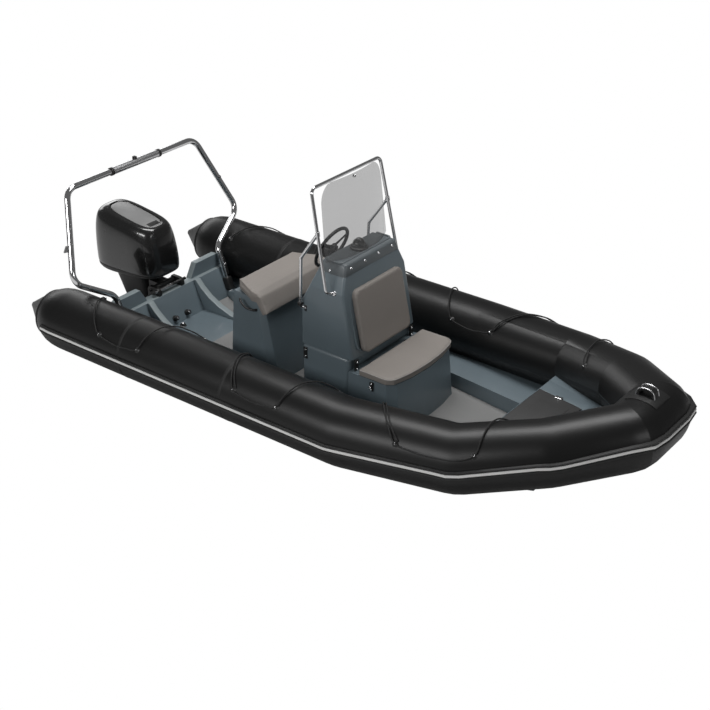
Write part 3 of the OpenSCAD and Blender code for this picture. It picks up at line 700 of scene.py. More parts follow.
# %% Rope on the tubes
BEND_LINE = [(Vector(p[:3]), p[3]) for p in TUBE_LINE[10:]]
ROPE_ROUTE = [
    # x, angle round the tube from straight up (outboard positive), lift off it in mm
    (0.060, -44, 5), (0.100, -28, 7), (0.170, 0, 9), (0.260, 28, 8), (0.340, 47, 6),
    (0.400, 57, 9), (0.500, 62, 6), (0.610, 64, 6), (0.710, 62, 6), (0.811, 57, 9),
    (0.840, 34, 10), (0.880, 6, 13), (0.935, -20, 13), (1.020, -42, 10), (1.103, -56, 9),
    (1.210, -61, 6), (1.336, -63, 6), (1.460, -61, 6), (1.569, -56, 9), (1.590, -36, 8),
    (1.640, 0, 8), (1.710, 32, 8), (1.782, 57, 9), (1.880, 62, 6), (1.984, 64, 6),
    (2.085, 62, 6), (2.185, 57, 9), (2.215, 34, 10), (2.255, 6, 13), (2.310, -20, 13),
    (2.365, -42, 10), (2.417, -56, 9), (2.515, -61, 6), (2.615, -63, 6), (2.715, -61, 6),
    (2.813, -56, 9), (2.850, -34, 8), (2.940, 0, 8), (3.045, 32, 8), (3.136, 55, 9),
    (3.250, 60, 6), (3.376, 62, 6), (3.500, 60, 6), (3.616, 55, 9), (3.645, 32, 10),
    (3.675, 4, 13), (3.715, -20, 13), (3.755, -42, 10), (3.795, -56, 9)]
DOUBLES = [[(1.600, -52, 6), (1.616, -34, 8), (1.664, 0, 8), (1.732, 32, 8), (1.800, 53, 6)],
           [(2.836, -52, 6), (2.874, -34, 8), (2.964, 0, 8), (3.069, 32, 8), (3.150, 51, 6)]]
ANCHORS = [(0.400, 57), (0.811, 57), (1.103, -56), (1.569, -56), (1.782, 57), (2.185, 57),
           (2.417, -56), (2.813, -56), (3.136, 55), (3.616, 55), (3.795, -56)]
ROPE_RADIUS = 0.0055
ROPE_STRANDS = 3
ROPE_LAY = 16  # length of one turn, in rope radii
ROPE_END = (0.06, -44)


def on_tube(x, angle, lift, side):
    """A point on a tube and its outward direction; side is 1 to port, -1 to starboard."""
    leg = max(i for i in range(len(BEND_LINE) - 1) if x >= BEND_LINE[i][0].x or i == 0)
    (a, ra), (b, rb) = BEND_LINE[leg], BEND_LINE[leg + 1]
    t = (x - a.x) / (b.x - a.x)
    flat = Vector((-(b - a).y, (b - a).x, 0)).normalized()
    turn = math.radians(angle)
    out = math.sin(turn) * flat + math.cos(turn) * Vector((0, 0, 1))
    point = a.lerp(b, t) + out * (ra + (rb - ra) * t + lift)
    return Vector((point.x, side * point.y, point.z)), Vector((out.x, side * out.y, out.z))


def laid_rope(name, path, radius):
    """Three strands: a lobed section that turns once in eight diameters."""
    rings, travelled = [], 0
    for i, (p, (ahead, side)) in enumerate(zip(path, frames_along(path))):
        travelled += (p - path[i - 1]).length if i else 0
        across, phase = ahead.cross(side), travelled / (radius * ROPE_LAY) * 2 * math.pi
        ring = []
        for k in range(12):
            a = 2 * math.pi * k / 12
            r = radius * (0.93 + 0.12 * math.cos(ROPE_STRANDS * (a - phase)))
            ring.append(p + r * (math.cos(a) * side + math.sin(a) * across))
        rings.append(ring)
    return mesh_object(name, *skin(rings), rope, 60)


for side, word in ((-1, "starboard"), (1, "port")):
    ropes = []
    for route in [ROPE_ROUTE] + DOUBLES:
        spots = [on_tube(x, a, lift / 1000 + ROPE_RADIUS * 0.9, side)[0] for x, a, lift in route]
        ropes.append(laid_rope("rope", smooth_path(spots, 14), ROPE_RADIUS))
    piece = joined("grab_line_" + word + "_rope", ropes)
    place(piece, "boat", "line", "grab_line_" + word)
    print(piece.name, len(piece.data.polygons), "faces")
spots = [on_tube(x, a, 0, side) for x, a in ANCHORS + [ROPE_END] for side in (-1, 1)]
fasten("anchor_bases", spots, anchor_base, black_plastic, "boat", "stainless", 1.0, 0.0,
       "line_anchors")
fasten("anchor_rings", spots, anchor_ring, steel, "boat", "stainless")
print("anchors:", len(spots))

# %% [markdown]
# ## Spray rails
# Under water the deep-V hull carries lengthwise rails that throw the spray aside. They follow the
# hull's own lines, a fixed share of the way from keel to chine, so they are drawn from its table.

# %% Spray rails and keel band
HULL_LINES = [
    # x, keel z, chine y, chine z
    (0.00, -0.380, 0.760, -0.095), (1.30, -0.386, 0.752, -0.090), (2.60, -0.390, 0.745, -0.085),
    (3.05, -0.366, 0.695, -0.053), (3.44, -0.340, 0.640, -0.020), (3.84, -0.192, 0.482, 0.070)]
rails = []
for share in (0.38, 0.72):
    for side in (-1, 1):
        path = smooth_path([(x, side * share * cy, kz + share * (cz - kz))
                            for x, kz, cy, cz in HULL_LINES], 6)
        radii = [0.016 * min(1, 0.15 + (len(path) - 1 - i) / 6) for i in range(len(path))]
        rails.append(round_bar("rail", path, radii, gelcoat, 8))
path = smooth_path([(x, 0, kz - 0.001) for x, kz, _, _ in HULL_LINES], 6)
rails.append(round_bar("keel_band", path, 0.012, gelcoat, 10))
piece = joined("spray_rails", rails)
place(piece, "boat", "gelcoat")
print("spray rails:", len(rails))

# %% [markdown]
# ## Stainless tube work
# The roll bar, the windscreen frame and the grab rails are polished tube, bent on a mandrel. Each
# one is a path of straight runs and round bends with a ring swept along it. Steel shows mostly
# what stands round it, so its shape is read from the bright and dark lines of its reflections.

# %% Roll bar
def both_sides(half):
    return [Vector(p) for p in half] + [Vector((p[0], -p[1], p[2])) for p in reversed(half)]


roll_half = [(0.176, 0.600, 0.040), (0.030, 0.606, 0.435), (-0.049, 0.965, 0.655),
             (-0.293, 0.722, 1.314)]
path = bent_path(both_sides(roll_half), 0.12, 10)
piece = round_bar("roll_bar_tube", path, 0.025, steel, 32, (1, 0, 0.4))
place(piece, "boat", "stainless", "roll_bar")


def across_bar(name, outline, origin, material, sides=32):
    return turned(name, outline, origin, (0, 1, 0), material, sides)


top_bar = (-0.293, 0, 1.314)
sleeve = across_bar("sleeve", [(-0.231, 0.0250), (-0.229, 0.0305), (-0.222, 0.031),
                               (0.272, 0.031), (0.279, 0.0305), (0.281, 0.0250)],
                    top_bar, brushed)
place(sleeve, "boat", "sleeve", "roll_bar_sleeve")
collars = [across_bar("collar", [(y - 0.012, 0.0255), (y - 0.011, 0.034), (y + 0.011, 0.034),
                                 (y + 0.012, 0.0255)], top_bar, black_plastic)
           for y in (-0.242, 0.292)]
place(joined("sleeve_collars", collars), "boat", "sleeve")
print("roll bar: path of", len(path), "points")

# %% [markdown]
# ## Small blocks and plates
# Clips, latches and hinge leaves are moulded or pressed, with small round edges. One helper makes
# a block of a given size, turns it, puts it in place and rounds it with a Bevel.

# %% Clips and feet of the roll bar
def block(name, size, centre, radius, material, turn=(0, 0, 0)):
    mesh = bpy.data.meshes.new(name)
    work = bmesh.new()
    bmesh.ops.create_cube(work, size=1)
    sized = Matrix.Diagonal((*size, 1))
    angles = [math.radians(a) for a in turn]
    turned_by = (Matrix.Rotation(angles[2], 4, "Z") @ Matrix.Rotation(angles[1], 4, "Y")
                 @ Matrix.Rotation(angles[0], 4, "X"))
    work.transform(Matrix.Translation(centre) @ turned_by @ sized)
    work.to_mesh(mesh)
    work.free()
    piece = bpy.data.objects.new(name, mesh)
    bpy.context.scene.collection.objects.link(piece)
    edge = piece.modifiers.new("round", "BEVEL")
    edge.width, edge.segments, edge.limit_method = radius, 3, "NONE"
    bake(piece)
    return finish_mesh(piece, material)


clips = [block("clip", (0.034, 0.028, 0.044), (-0.293, 0.023, 1.345), 0.005, black_plastic),
         block("clip", (0.040, 0.030, 0.060), (-0.158, 0.865, 0.945), 0.006, black_plastic,
               (20, 20, 0))]
place(joined("roll_bar_clips", clips), "boat", "instrument")
plate = block("roll_bar_plate", (0.012, 0.046, 0.062), (-0.148, -0.906, 0.905), 0.003,
              motor_grey, (-12, 18, 0))
place(plate, "boat", "sleeve")
feet = []
for side in (-1, 1):
    feet.append(block("foot", (0.070, 0.064, 0.12), (0.150, side * 0.600, 0.118), 0.014,
                      satin_black, (0, -20, 0)))
    feet.append(block("foot", (0.050, 0.030, 0.16), (0.096, side * 0.612, 0.268), 0.010,
                      satin_black, (0, -20, 0)))
place(joined("roll_bar_feet", feet), "boat", "motor_parts")
bolts = [((0.128, side * 0.6, 0.300), (1, 0, 0.4)) for side in (-1, 1)]
bolts += [((0.188, side * 0.6, 0.100), (1, 0, 0.36)) for side in (-1, 1)]
fasten("roll_bar_bolts", bolts, screw, steel, "boat", "stainless", 1.3)
print("roll bar fittings:", len(clips) + 1 + len(feet))

# %% [markdown]
# ## Transom fittings
# Two drain plugs, a bung and a pair of hull fittings sit in the motor's well. They are turned
# parts: a flange, a body and a knob on one axis.

# %% Transom fittings
slope = Vector((0.90, 0, 0.42))
plugs, studs = [], []
for y in (-0.085, 0.060):
    plugs.append(turned("plug", [(-0.004, 0.026), (0.004, 0.025), (0.007, 0.014), (0.020, 0.013),
                                 (0.024, 0.020), (0.034, 0.020), (0.037, 0.014)],
                        (0.158, y, 0.052), slope, black_plastic, 24))
    studs.append((Vector((0.158, y, 0.052)) + slope * 0.036, slope))
plugs.append(turned("bung", [(-0.002, 0.030), (0.006, 0.029), (0.010, 0.020), (0.024, 0.016),
                             (0.028, 0.010)], (0.245, -0.080, 0.008), (0.2, 0, 1),
                    black_plastic, 24))
place(joined("drain_plugs", plugs), "boat", "instrument")
wing = [turned("outlet", [(-0.004, 0.016), (0.004, 0.016), (0.006, 0.010), (0.014, 0.009)],
               (0.060 + 0.004 * k, 0.545 - 0.045 * k, 0.205 - 0.03 * k), slope, steel, 20)
        for k in (0, 1)]
place(joined("hull_outlets", wing), "boat", "stainless")
fasten("plug_studs", studs + [(Vector((0.245, -0.080, 0.034)), (0.2, 0, 1))], screw, steel,
       "boat", "stainless", 1.2)
print("transom fittings:", len(plugs) + len(wing))

# %% [markdown]
# ## Sewn cushions
# A cushion is foam in a sewn cover, so it bulges between its seams and its faces are never flat.
# The solid is copied, made a little smaller, given an even skin of small squares by a voxel
# remesh, and blown up a little by the Cloth solver with gravity switched off. How far a point may
# move is capped, so the pad stays in its place. A bead of piping follows one seam afterwards.

# %% Blow up the pads
def padded_pad(node, name, body, keep=None, cap=0.005, shrink=0.0015, voxel=0.005):
    """Copy, remesh and inflate a pad; keep is the lowest x that belongs to the cushion."""
    cut = ((keep, 0, 0), (1, 0, 0)) if keep else None
    piece = copy_node(node, name, cut)
    work = bmesh.new()
    work.from_mesh(piece.data)
    for vertex in work.verts:
        vertex.co -= vertex.normal * shrink
    work.to_mesh(piece.data)
    work.free()
    soft = piece.modifiers.new("soft", "BEVEL")
    soft.width, soft.segments, soft.limit_method = 0.007, 4, "ANGLE"
    soft.use_clamp_overlap = True
    skin_tool = piece.modifiers.new("skin", "REMESH")
    skin_tool.mode, skin_tool.voxel_size = "VOXEL", voxel
    bake(piece)
    start = [v.co.copy() for v in piece.data.vertices]
    cloth = piece.modifiers.new("cloth", "CLOTH")
    cloth.settings.use_pressure = True
    cloth.settings.uniform_pressure_force = 4
    cloth.settings.effector_weights.gravity = 0
    cloth.settings.tension_stiffness = cloth.settings.compression_stiffness = 25
    cloth.settings.bending_stiffness = 2
    for step in range(1, 21):
        bpy.context.scene.frame_set(step)
    bake(piece)
    for vertex, was in zip(piece.data.vertices, start):
        moved = vertex.co - was
        if moved.length > cap:
            vertex.co = was + moved.normalized() * cap
    bpy.context.scene.frame_set(1)
    smooth = piece.modifiers.new("smooth", "SMOOTH")
    smooth.factor, smooth.iterations = 0.5, 6
    bake(piece)
    finish_mesh(piece, vinyl, 70)
    place(piece, body, "upholstery", node)
    print(name, len(piece.data.polygons), "faces")
    return piece


def piping(name, points, body, radius=0.0045, material=None):
    """A closed bead of piping through a loop of points."""
    loop = smooth_path(list(points) + [points[0]], 5)[:-1]
    rings = []
    for i, p in enumerate(loop):
        ahead = (loop[(i + 1) % len(loop)] - loop[i - 1]).normalized()
        side = Vector((0, 0, 1)).cross(ahead)
        side = side.normalized() if side.length > 0.2 else Vector((1, 0, 0))
        up = ahead.cross(side)
        rings.append([p + radius * (math.cos(a) * side + math.sin(a) * up)
                      for a in (2 * math.pi * k / 8 for k in range(8))])
    piece = mesh_object(name, *skin(rings, capped=False, closed=True),
                        material or piping_vinyl_painted_highlight)
    return place(piece, body, "upholstery")


# The piping bead is real, but its vinyl is lighter than the cushion's: a painted highlight along the
# seam's edge.
piping_vinyl_painted_highlight = make_vinyl("vinyl_piping", (0.30, 0.285, 0.27))
padded_pad("helm_seat_cushion", "helm_seat_pad", "helm_lid", 1.128)
padded_pad("front_seat_cushion", "front_seat_pad", "seat_lid", 2.348)
padded_pad("backrest_cushion", "backrest_pad", "boat", shrink=0.0)
seat_edge = [(2.364, 0.20), (2.364, 0.385), (2.372, 0.399), (2.50, 0.401), (2.595, 0.400),
             (2.643, 0.364), (2.664, 0.29), (2.680, 0.197), (2.689, 0.10)]
outline = seat_edge + [(2.692, 0)] + [(x, -y) for x, y in reversed(seat_edge)]
piping("front_seat_piping", [Vector((x, y, 0.4505)) for x, y in outline], "seat_lid",
       0.0035)
print("pads and piping ready")

# %% [markdown]
# ## Hinge leaves
# The pads swing on stainless hinges. The leaf and its pin belong to the moving pad, so they ride
# on the lid's body and turn about the pin.

# %% Hinges of the lids
for body, x, z in (("helm_lid", 1.108, 0.712), ("seat_lid", 2.330, 0.414)):
    pin = turned("pin", [(-0.222, 0.0055), (-0.220, 0.0068), (0.220, 0.0068), (0.222, 0.0055)],
                 (x, 0, z), (0, 1, 0), steel, 20)
    leaf = block("leaf", (0.026, 0.378, 0.005), (x + 0.014, 0, z - 0.0005), 0.0015, brushed)
    place(joined(body + "_hinge", [pin, leaf]), body, "stainless")
rounded("hinge_lugs", "hinge_lug_castings", 0.003, steel, 2, slot="stainless")
STRAP_ROUTE = [(1.192, -0.385, 0.676), (1.215, -0.402, 0.660), (1.272, -0.412, 0.632),
               (1.330, -0.398, 0.622), (1.353, -0.378, 0.624)]
strap = round_bar("seat_strap", smooth_path(STRAP_ROUTE, 8), 0.009, black_plastic, 12)
place(strap, "boat", "instrument")
print("hinges ready")

# %% [markdown]
# ## The console's cap and lips
# The console is moulded in two halves: a body and a slightly larger cap that sits over it. The
# cap is the same solid again, sliced level, swollen a few millimetres and given a darker satin
# band. A raised lip runs round its front edge to stop things sliding off.

# %% Console cap, screws, lip and bead
cap_piece = copy_node("console_shell", "console_cap", ((0, 0, 1.115), (0, 0, 1)))
work = bmesh.new()
work.from_mesh(cap_piece.data)
for vertex in work.verts:
    vertex.co += vertex.normal * 0.0035
work.to_mesh(cap_piece.data)
work.free()
soft = cap_piece.modifiers.new("soft", "BEVEL")
soft.width, soft.segments, soft.limit_method = 0.003, 2, "ANGLE"
bake(cap_piece)
finish_mesh(cap_piece, console_band, 32)
place(cap_piece, "boat", "gelcoat")
lip = bent_path(both_sides([(1.985, 0.300, 1.198), (2.118, 0.300, 1.198)]), 0.030, 8)
place(round_bar("console_lip", lip, 0.010, console_band, 16), "boat", "gelcoat")
spots = [((2.1665, y, 1.158), (1, 0, 0.19)) for y in (-0.249, -0.083, 0.083, 0.249)]
spots += [((2.030, side * 0.3272, 1.135), (0, side, 0.42)) for side in (-1, 1)]
fasten("console_screws", spots, screw, steel, "boat", "stainless", 1.15)
bead = []
for y, z in [(0.325, 0.60), (0.325, 0.80), (0.325, 0.97), (0.300, 1.015), (0.25, 1.035),
             (0.0, 1.035), (-0.25, 1.035), (-0.300, 1.015), (-0.325, 0.97), (-0.325, 0.80),
             (-0.325, 0.60), (-0.300, 0.555), (-0.25, 0.535), (0.0, 0.535), (0.25, 0.535),
             (0.300, 0.555)]:
    bead.append(Vector((2.288 - 0.226 * (z - 0.523), y, z)))
piece = piping("backrest_rim", bead, "boat", 0.009, gelcoat)
print("console cap:", len(cap_piece.data.polygons), "faces")

# %% [markdown]
# ## Latches and covers
# A latch is a black plate with a knob. Plates are rounded blocks, knobs are turned parts, and the
# fasteners come from the same tree as before.

# %% Latches, hinge covers and foot plates
plates = [block("latch", (0.034, 0.010, 0.095), (1.851, -0.403, 0.430), 0.003, black_plastic),
          block("latch", (0.030, 0.012, 0.072), (2.475, -0.412, 0.359), 0.003, black_plastic)]
plates += [block("cover", (0.014, 0.040, 0.095), (2.288, side * 0.345, 0.440), 0.004,
                 black_plastic) for side in (-1, 1)]
plates += [block("foot", (0.030, 0.014, 0.055), (1.846, side * 0.380, 0.794), 0.005,
                 black_plastic) for side in (-1, 1)]
plates += [block("clamp", (0.034, 0.034, 0.030), (1.812, side * 0.405, 0.830), 0.008,
                 black_plastic) for side in (-1, 1)]
place(joined("console_latches", plates), "boat", "instrument")
spots = [((1.851, -0.409, z), (0, -1, 0)) for z in (0.402, 0.458)]
spots += [((2.475, -0.419, z), (0, -1, 0)) for z in (0.334, 0.384)]
spots += [((2.296, side * 0.345, z), (1, 0, 0)) for z in (0.412, 0.468) for side in (-1, 1)]
spots += [((1.846, side * 0.388, 0.794), (0, side, 0)) for side in (-1, 1)]
fasten("latch_screws", spots, screw, steel, "boat", "stainless", 0.9)
knob = turned("seat_latch_knob", [(0, 0.005), (0.006, 0.005), (0.008, 0.010), (0.014, 0.013),
                                  (0.020, 0.010), (0.023, 0.003)], (2.475, -0.418, 0.359),
              (0, -1, 0), steel, 20)
place(knob, "boat", "stainless")
print("latches:", len(plates))

# %% [markdown]
# ## Windscreen, frame and rails
# The screen is one bent sheet of smoked acrylic: a fine grid of points with a front and a back a
# few millimetres apart, so its edge shows and what stands behind it is dimmed twice. The frame round it
# is bent steel tube like the roll bar.

# %% Windscreen and its tubes
SCREEN_FOOT, SCREEN_TOP, SCREEN_SHOULDER, ROUND_FROM = 1.203, 1.778, 1.630, 0.70


def screen_point(s, z, half_thickness):
    up = z - SCREEN_FOOT
    reach = 0.364 - 0.014 * up / (SCREEN_SHOULDER - SCREEN_FOOT)
    return Vector((2.122 - 0.207 * up - (0.099 - 0.108 * up) * s * s + half_thickness,
                   s * reach, z))


def screen_height(s):
    if abs(s) < ROUND_FROM:
        return SCREEN_TOP
    t = (abs(s) - ROUND_FROM) / (1 - ROUND_FROM)
    return SCREEN_SHOULDER + (SCREEN_TOP - SCREEN_SHOULDER) * math.sqrt(max(0, 1 - t * t))


rings = []
for i in range(-40, 41):
    s = math.sin(i / 40 * math.pi / 2)
    top = screen_height(s)
    front = [screen_point(s, SCREEN_FOOT + (top - SCREEN_FOOT) * k / 12, 0.0027)
             for k in range(13)]
    back = [screen_point(s, p.z, -0.0027) for p in reversed(front)]
    rings.append(front + back)
piece = mesh_object("windscreen_sheet", *skin(rings), acrylic, 40)
place(piece, "boat", "acrylic", "windscreen")
frame_half = [(2.114, 0.366, 0.994), (2.084, 0.438, 0.998), (1.931, 0.404, 1.761)]
path = bent_path(both_sides(frame_half), 0.045, 8)
piece = round_bar("windscreen_tube", path, 0.0125, steel, 24, (1, 0, 0.4))
place(piece, "boat", "stainless", "windscreen_frame")
rails = []
for side in (-1, 1):
    route = [Vector((x, side * y, z)) for x, y, z in ((1.996, 0.418, 1.440),
             (1.830, 0.410, 1.207), (1.812, 0.405, 0.806), (1.846, 0.366, 0.794))]
    rails.append(round_bar("rail", bent_path(route, 0.028, 8), 0.0125, steel, 24, (0, 1, 0)))
    rails.append(turned("joint", [(-0.018, 0.0125), (-0.016, 0.0165), (0.016, 0.0165),
                                  (0.018, 0.0125)], (1.996, side * 0.418, 1.440),
                        (-0.19, side * -0.04, 0.97), steel, 24))
    rails.append(turned("stud", [(-0.004, 0.020), (0.004, 0.019), (0.008, 0.014)],
                        (2.114, side * 0.385, 0.994), (0, side, 0), steel, 24))
rails.append(turned("screen_stud", [(-0.006, 0.010), (0.010, 0.010), (0.014, 0.006)],
                    (2.000, 0, 1.752), (1, 0, 0.2), steel, 20))
place(joined("console_rails", rails), "boat", "stainless", "side_rails")
print("windscreen:", len(rings), "columns")

# %% [markdown]
# ## Steering wheel, gauges and compass
# The wheel is a soft rim on three flat spokes; it turns about the tilted shaft, so its points are
# made in the wheel's own plane and laid over. Gauges are turned bezels with a dark face.

# %% Wheel, gauges and compass
TILT = math.radians(113)
WHEEL = Matrix.Translation((1.790, 0, 1.135)) @ Matrix.Rotation(TILT, 4, "Y")
RIM_MIDDLE, RIM_GRIP = 0.171, 0.0135
rings = []
for i in range(64):
    a = 2 * math.pi * i / 64
    centre = Vector((RIM_MIDDLE * math.cos(a), RIM_MIDDLE * math.sin(a), 0))
    away = Vector((math.cos(a), math.sin(a), 0))
    grip = RIM_GRIP + 0.0005 * math.cos(32 * a)
    rings.append([WHEEL @ (centre + grip * (math.cos(b) * away
                                            + math.sin(b) * Vector((0, 0, 1))))
                  for b in (2 * math.pi * k / 16 for k in range(16))])
parts = [mesh_object("rim", *skin(rings, capped=False, closed=True), black_plastic)]
for k in range(3):
    a = 2 * math.pi * k / 3
    rings = []
    for r, wide, high in ((0.030, 0.024, 0.010), (0.06, 0.018, 0.009), (0.12, 0.016, 0.008),
                          (0.163, 0.020, 0.008)):
        out = Vector((math.cos(a), math.sin(a), 0))
        over = Vector((-math.sin(a), math.cos(a), 0))
        rings.append([WHEEL @ (out * r + over * wide * math.cos(b)
                               + Vector((0, 0, 0.007 + 0.5 * high * math.sin(b))))
                      for b in (2 * math.pi * j / 12 for j in range(12))])
    parts.append(mesh_object("spoke", *skin(rings), black_plastic, 50))
axis = WHEEL.to_3x3() @ Vector((0, 0, 1))
parts.append(turned("hub", [(-0.002, 0.020), (0.0, 0.037), (0.036, 0.034), (0.040, 0.018),
                            (0.188, 0.015)], WHEEL.translation, axis, black_plastic, 40))
parts.append(turned("hub_cap", [(-0.006, 0.008), (-0.004, 0.020), (0.002, 0.024),
                                (0.006, 0.024)], WHEEL.translation, axis, satin_black, 32))
place(joined("wheel_rim_and_spokes", parts), "wheel", "instrument", "steering_wheel")
compass_parts = [
    turned("flange", [(-0.002, 0.066), (0.004, 0.069), (0.014, 0.068), (0.018, 0.060),
                      (0.020, 0.052)], (2.046, 0, 1.200), (0, 0, 1), black_plastic, 40),
    turned("dome", [(0.018, 0.050), (0.032, 0.0505), (0.048, 0.046), (0.062, 0.036),
                    (0.074, 0.023), (0.081, 0.010), (0.083, 0.003)], (2.046, 0, 1.200),
           (0, 0, 1), gloss_black, 40)]
place(joined("compass_dome", compass_parts), "boat", "instrument", "compass")
gauges = []
normal = Vector((-0.918, 0, 0.396))
for y, r in ((-0.245, 0.042), (-0.145, 0.030), (0.145, 0.030), (0.245, 0.042)):
    spot = Vector((1.912, y, 1.080))
    gauges.append(turned("bezel", [(-0.012, r), (0.004, r), (0.007, r - 0.003),
                                   (0.005, r - 0.007)], spot, normal, black_plastic, 32))
place(joined("dash_gauges", gauges), "boat", "instrument")
print("gauges:", len(gauges))

# %% [markdown]
# ## Locker hatch, bow patch and eyes
# The hatch is a moulded charcoal lid with a chrome latch on its free edge. A flange joins the
# locker to the tubes. The carry handle is a black arch on a patch, with a bright bar at each rim.

# %% Hatch, handle and eyes
rounded("bow_hatch", "bow_hatch_lid", 0.004, hatch_plastic, 3, "hatch", "hatch")
latch = [block("latch", (0.060, 0.030, 0.007), (3.628, 0.300, 0.3475), 0.003, steel),
         turned("ring", [(0, 0.011), (0.003, 0.010), (0.004, 0.007)], (3.628, 0.300, 0.350),
                (0, 0, 1), steel, 24)]
place(joined("hatch_latch", latch), "hatch", "stainless")
place(block("hatch_panel", (0.250, 0.400, 0.003), (3.640, 0.0, 0.3458), 0.0012,
            hatch_plastic), "hatch", "hatch")
rounded("bow_handle", "bow_handle_moulding", 0.006, black_plastic, 3, slot="instrument")
rounded("bow_eye", "bow_eye_plate", 0.0015, steel, 2, slot="stainless")
rounded("stern_eyes", "stern_eye_plates", 0.0015, steel, 2, slot="stainless")
edges = []
ARCH = [(4.364, 0.800), (4.374, 0.838), (4.398, 0.857), (4.432, 0.862), (4.466, 0.857),
        (4.490, 0.838), (4.500, 0.800)]
for side in (-1, 1):
    arc = smooth_path([(x, side * 0.031, z) for x, z in ARCH], 5)
    edges.append(round_bar("edge", arc, 0.0048, brushed, 12, (0, 1, 0)))
place(joined("bow_handle_edges", edges), "boat", "instrument")
flanges = []
for side in (-1, 1):
    rows = []
    for x, inner, outer in ((3.440, 0.480, 0.605), (3.520, 0.460, 0.590), (3.680, 0.420, 0.545),
                            (3.860, 0.368, 0.470), (4.000, 0.330, 0.400), (4.080, 0.310, 0.350)):
        rows.append([Vector((x, side * y, z)) for y, z in
                     ((inner, 0.3345), (outer, 0.3345), (outer, 0.3385), (inner, 0.3385))])
    flanges.append(mesh_object("flange", *skin(rows), gelcoat))
place(joined("locker_flanges", flanges), "boat", "gelcoat")
print("bow fittings ready")

# %% [markdown]
# ## The outboard motor
# The casings are egg-shaped rings, one above another, with more rings where the shape turns. The
# same table as the frame gives the rings; a curve through each column makes them flow, so the
# cowl has no creases but the ones it should have.

# %% Cowl, pan and their seams
def casing_ring(front, aft, wide, front_z, aft_z, power, n=72):
    ring = []
    for k in range(n):
        a = 2 * math.pi * k / n
        c, d = math.cos(a), math.sin(a)
        u = (1 + math.copysign(abs(c) ** (2 / power), c)) / 2
        v = math.copysign(abs(d) ** (2 / power), d)
        ring.append(Vector((aft + (front - aft) * u, wide * v, aft_z + (front_z - aft_z) * u)))
    return ring


def flowing(table, per_span=4):
    """Rings along a smooth curve through every column of the table."""
    rows = [table[0], *table, table[-1]]
    made = []
    for a, b, c, d in zip(rows, rows[1:], rows[2:], rows[3:]):
        for i in range(per_span):
            t = i / per_span
            made.append([0.5 * (2 * q + (r - p) * t + (2 * p - 5 * q + 4 * r - s) * t * t
                                + (3 * q - p - 3 * r + s) * t ** 3)
                         for p, q, r, s in zip(a, b, c, d)])
    return [casing_ring(*row) for row in made + [table[-1]]]


PAN = [[-0.110, -0.622, 0.122, 0.386, 0.320, 3.0], [-0.070, -0.640, 0.150, 0.386, 0.330, 3.2],
       [0.004, -0.660, 0.186, 0.388, 0.341, 3.4], [0.036, -0.682, 0.207, 0.404, 0.376, 3.6],
       [0.043, -0.685, 0.210, 0.421, 0.398, 3.6]]
COWL = [[0.041, -0.683, 0.209, 0.4255, 0.4035, 3.6], [0.0445, -0.687, 0.2135, 0.434, 0.411, 3.6],
        [0.043, -0.691, 0.2148, 0.500, 0.470, 3.6], [0.026, -0.692, 0.2138, 0.600, 0.600, 3.6],
        [0.004, -0.6855, 0.2055, 0.700, 0.740, 3.6], [-0.014, -0.664, 0.187, 0.770, 0.840, 3.6],
        [-0.029, -0.624, 0.158, 0.806, 0.887, 3.4], [-0.046, -0.580, 0.122, 0.8165, 0.8985, 3.2],
        [-0.058, -0.566, 0.112, 0.8165, 0.8975, 3.2], [-0.064, -0.558, 0.107, 0.8085, 0.886, 3.2]]
place(mesh_object("motor_pan_casing", *skin(flowing(PAN, 3)), satin_black, 50), "motor",
      "motor_parts", "motor_pan")
place(mesh_object("cowl_casing", *skin(flowing(COWL, 5)), gloss_black, 42), "motor",
      "motor_paint", "cowling")
INSERT = [[-0.066, -0.556, 0.1045, 0.806, 0.880, 3.2], [-0.067, -0.555, 0.1035, 0.8125, 0.8915, 3.2],
          [-0.073, -0.549, 0.098, 0.8155, 0.8945, 3.2]]
place(mesh_object("cowl_insert", *skin(flowing(INSERT, 2)), motor_grey, 40), "motor",
      "motor_paint")
grip = block("slot", (0.050, 0.110, 0.006), (-0.108, 0, 0.8235), 0.0025, black_plastic,
             (0, 9.5, 0))
seam = block("slot", (0.004, 0.180, 0.003), (-0.420, 0, 0.8710), 0.001, black_plastic,
             (0, 9.5, 0))
place(joined("cowl_slots", [grip, seam]), "motor", "motor_parts")
print("cowl:", len(COWL), "columns")

# %% [markdown]
# ## Brackets, leg and propeller
# Castings under the cowl are satin black with soft edges. The propeller's blades are twisted:
# each is a row of thin sections that turn as they leave the hub, which is what drives the boat.

# %% Lower motor
for node, body, radius, material, slot in (
        ("clamp_bracket", "boat", 0.005, satin_black, "motor_parts"),
        ("swivel_bracket", "swivel", 0.005, satin_black, "motor_parts"),
        ("motor_leg", "motor", 0.006, satin_black, "motor_parts"),
        ("lower_unit", "motor", 0.003, satin_black, "motor_parts"),
        ("engine_block", "motor", 0.008, motor_grey, "engine")):
    rounded(node, node + "_casting", radius, material, 3, body, slot)
rod = turned("steering_ram_rod", [(-0.183, 0.0105), (-0.180, 0.0136), (0.02, 0.0136),
                                  (0.022, 0.0105)], (0.036, 0, 0.294), (0, 1, 0), steel, 24)
place(rod, "boat", "stainless")
PROP = Vector((-0.680, 0, -0.545))
blades = [turned("hub", [(-0.064, 0.030), (-0.062, 0.038), (-0.040, 0.044), (0.060, 0.044),
                         (0.070, 0.040), (0.072, 0.014), (0.144, 0.014)],
                 PROP, (1, 0, 0), satin_black, 40)]
BLADE_COUNT = 3
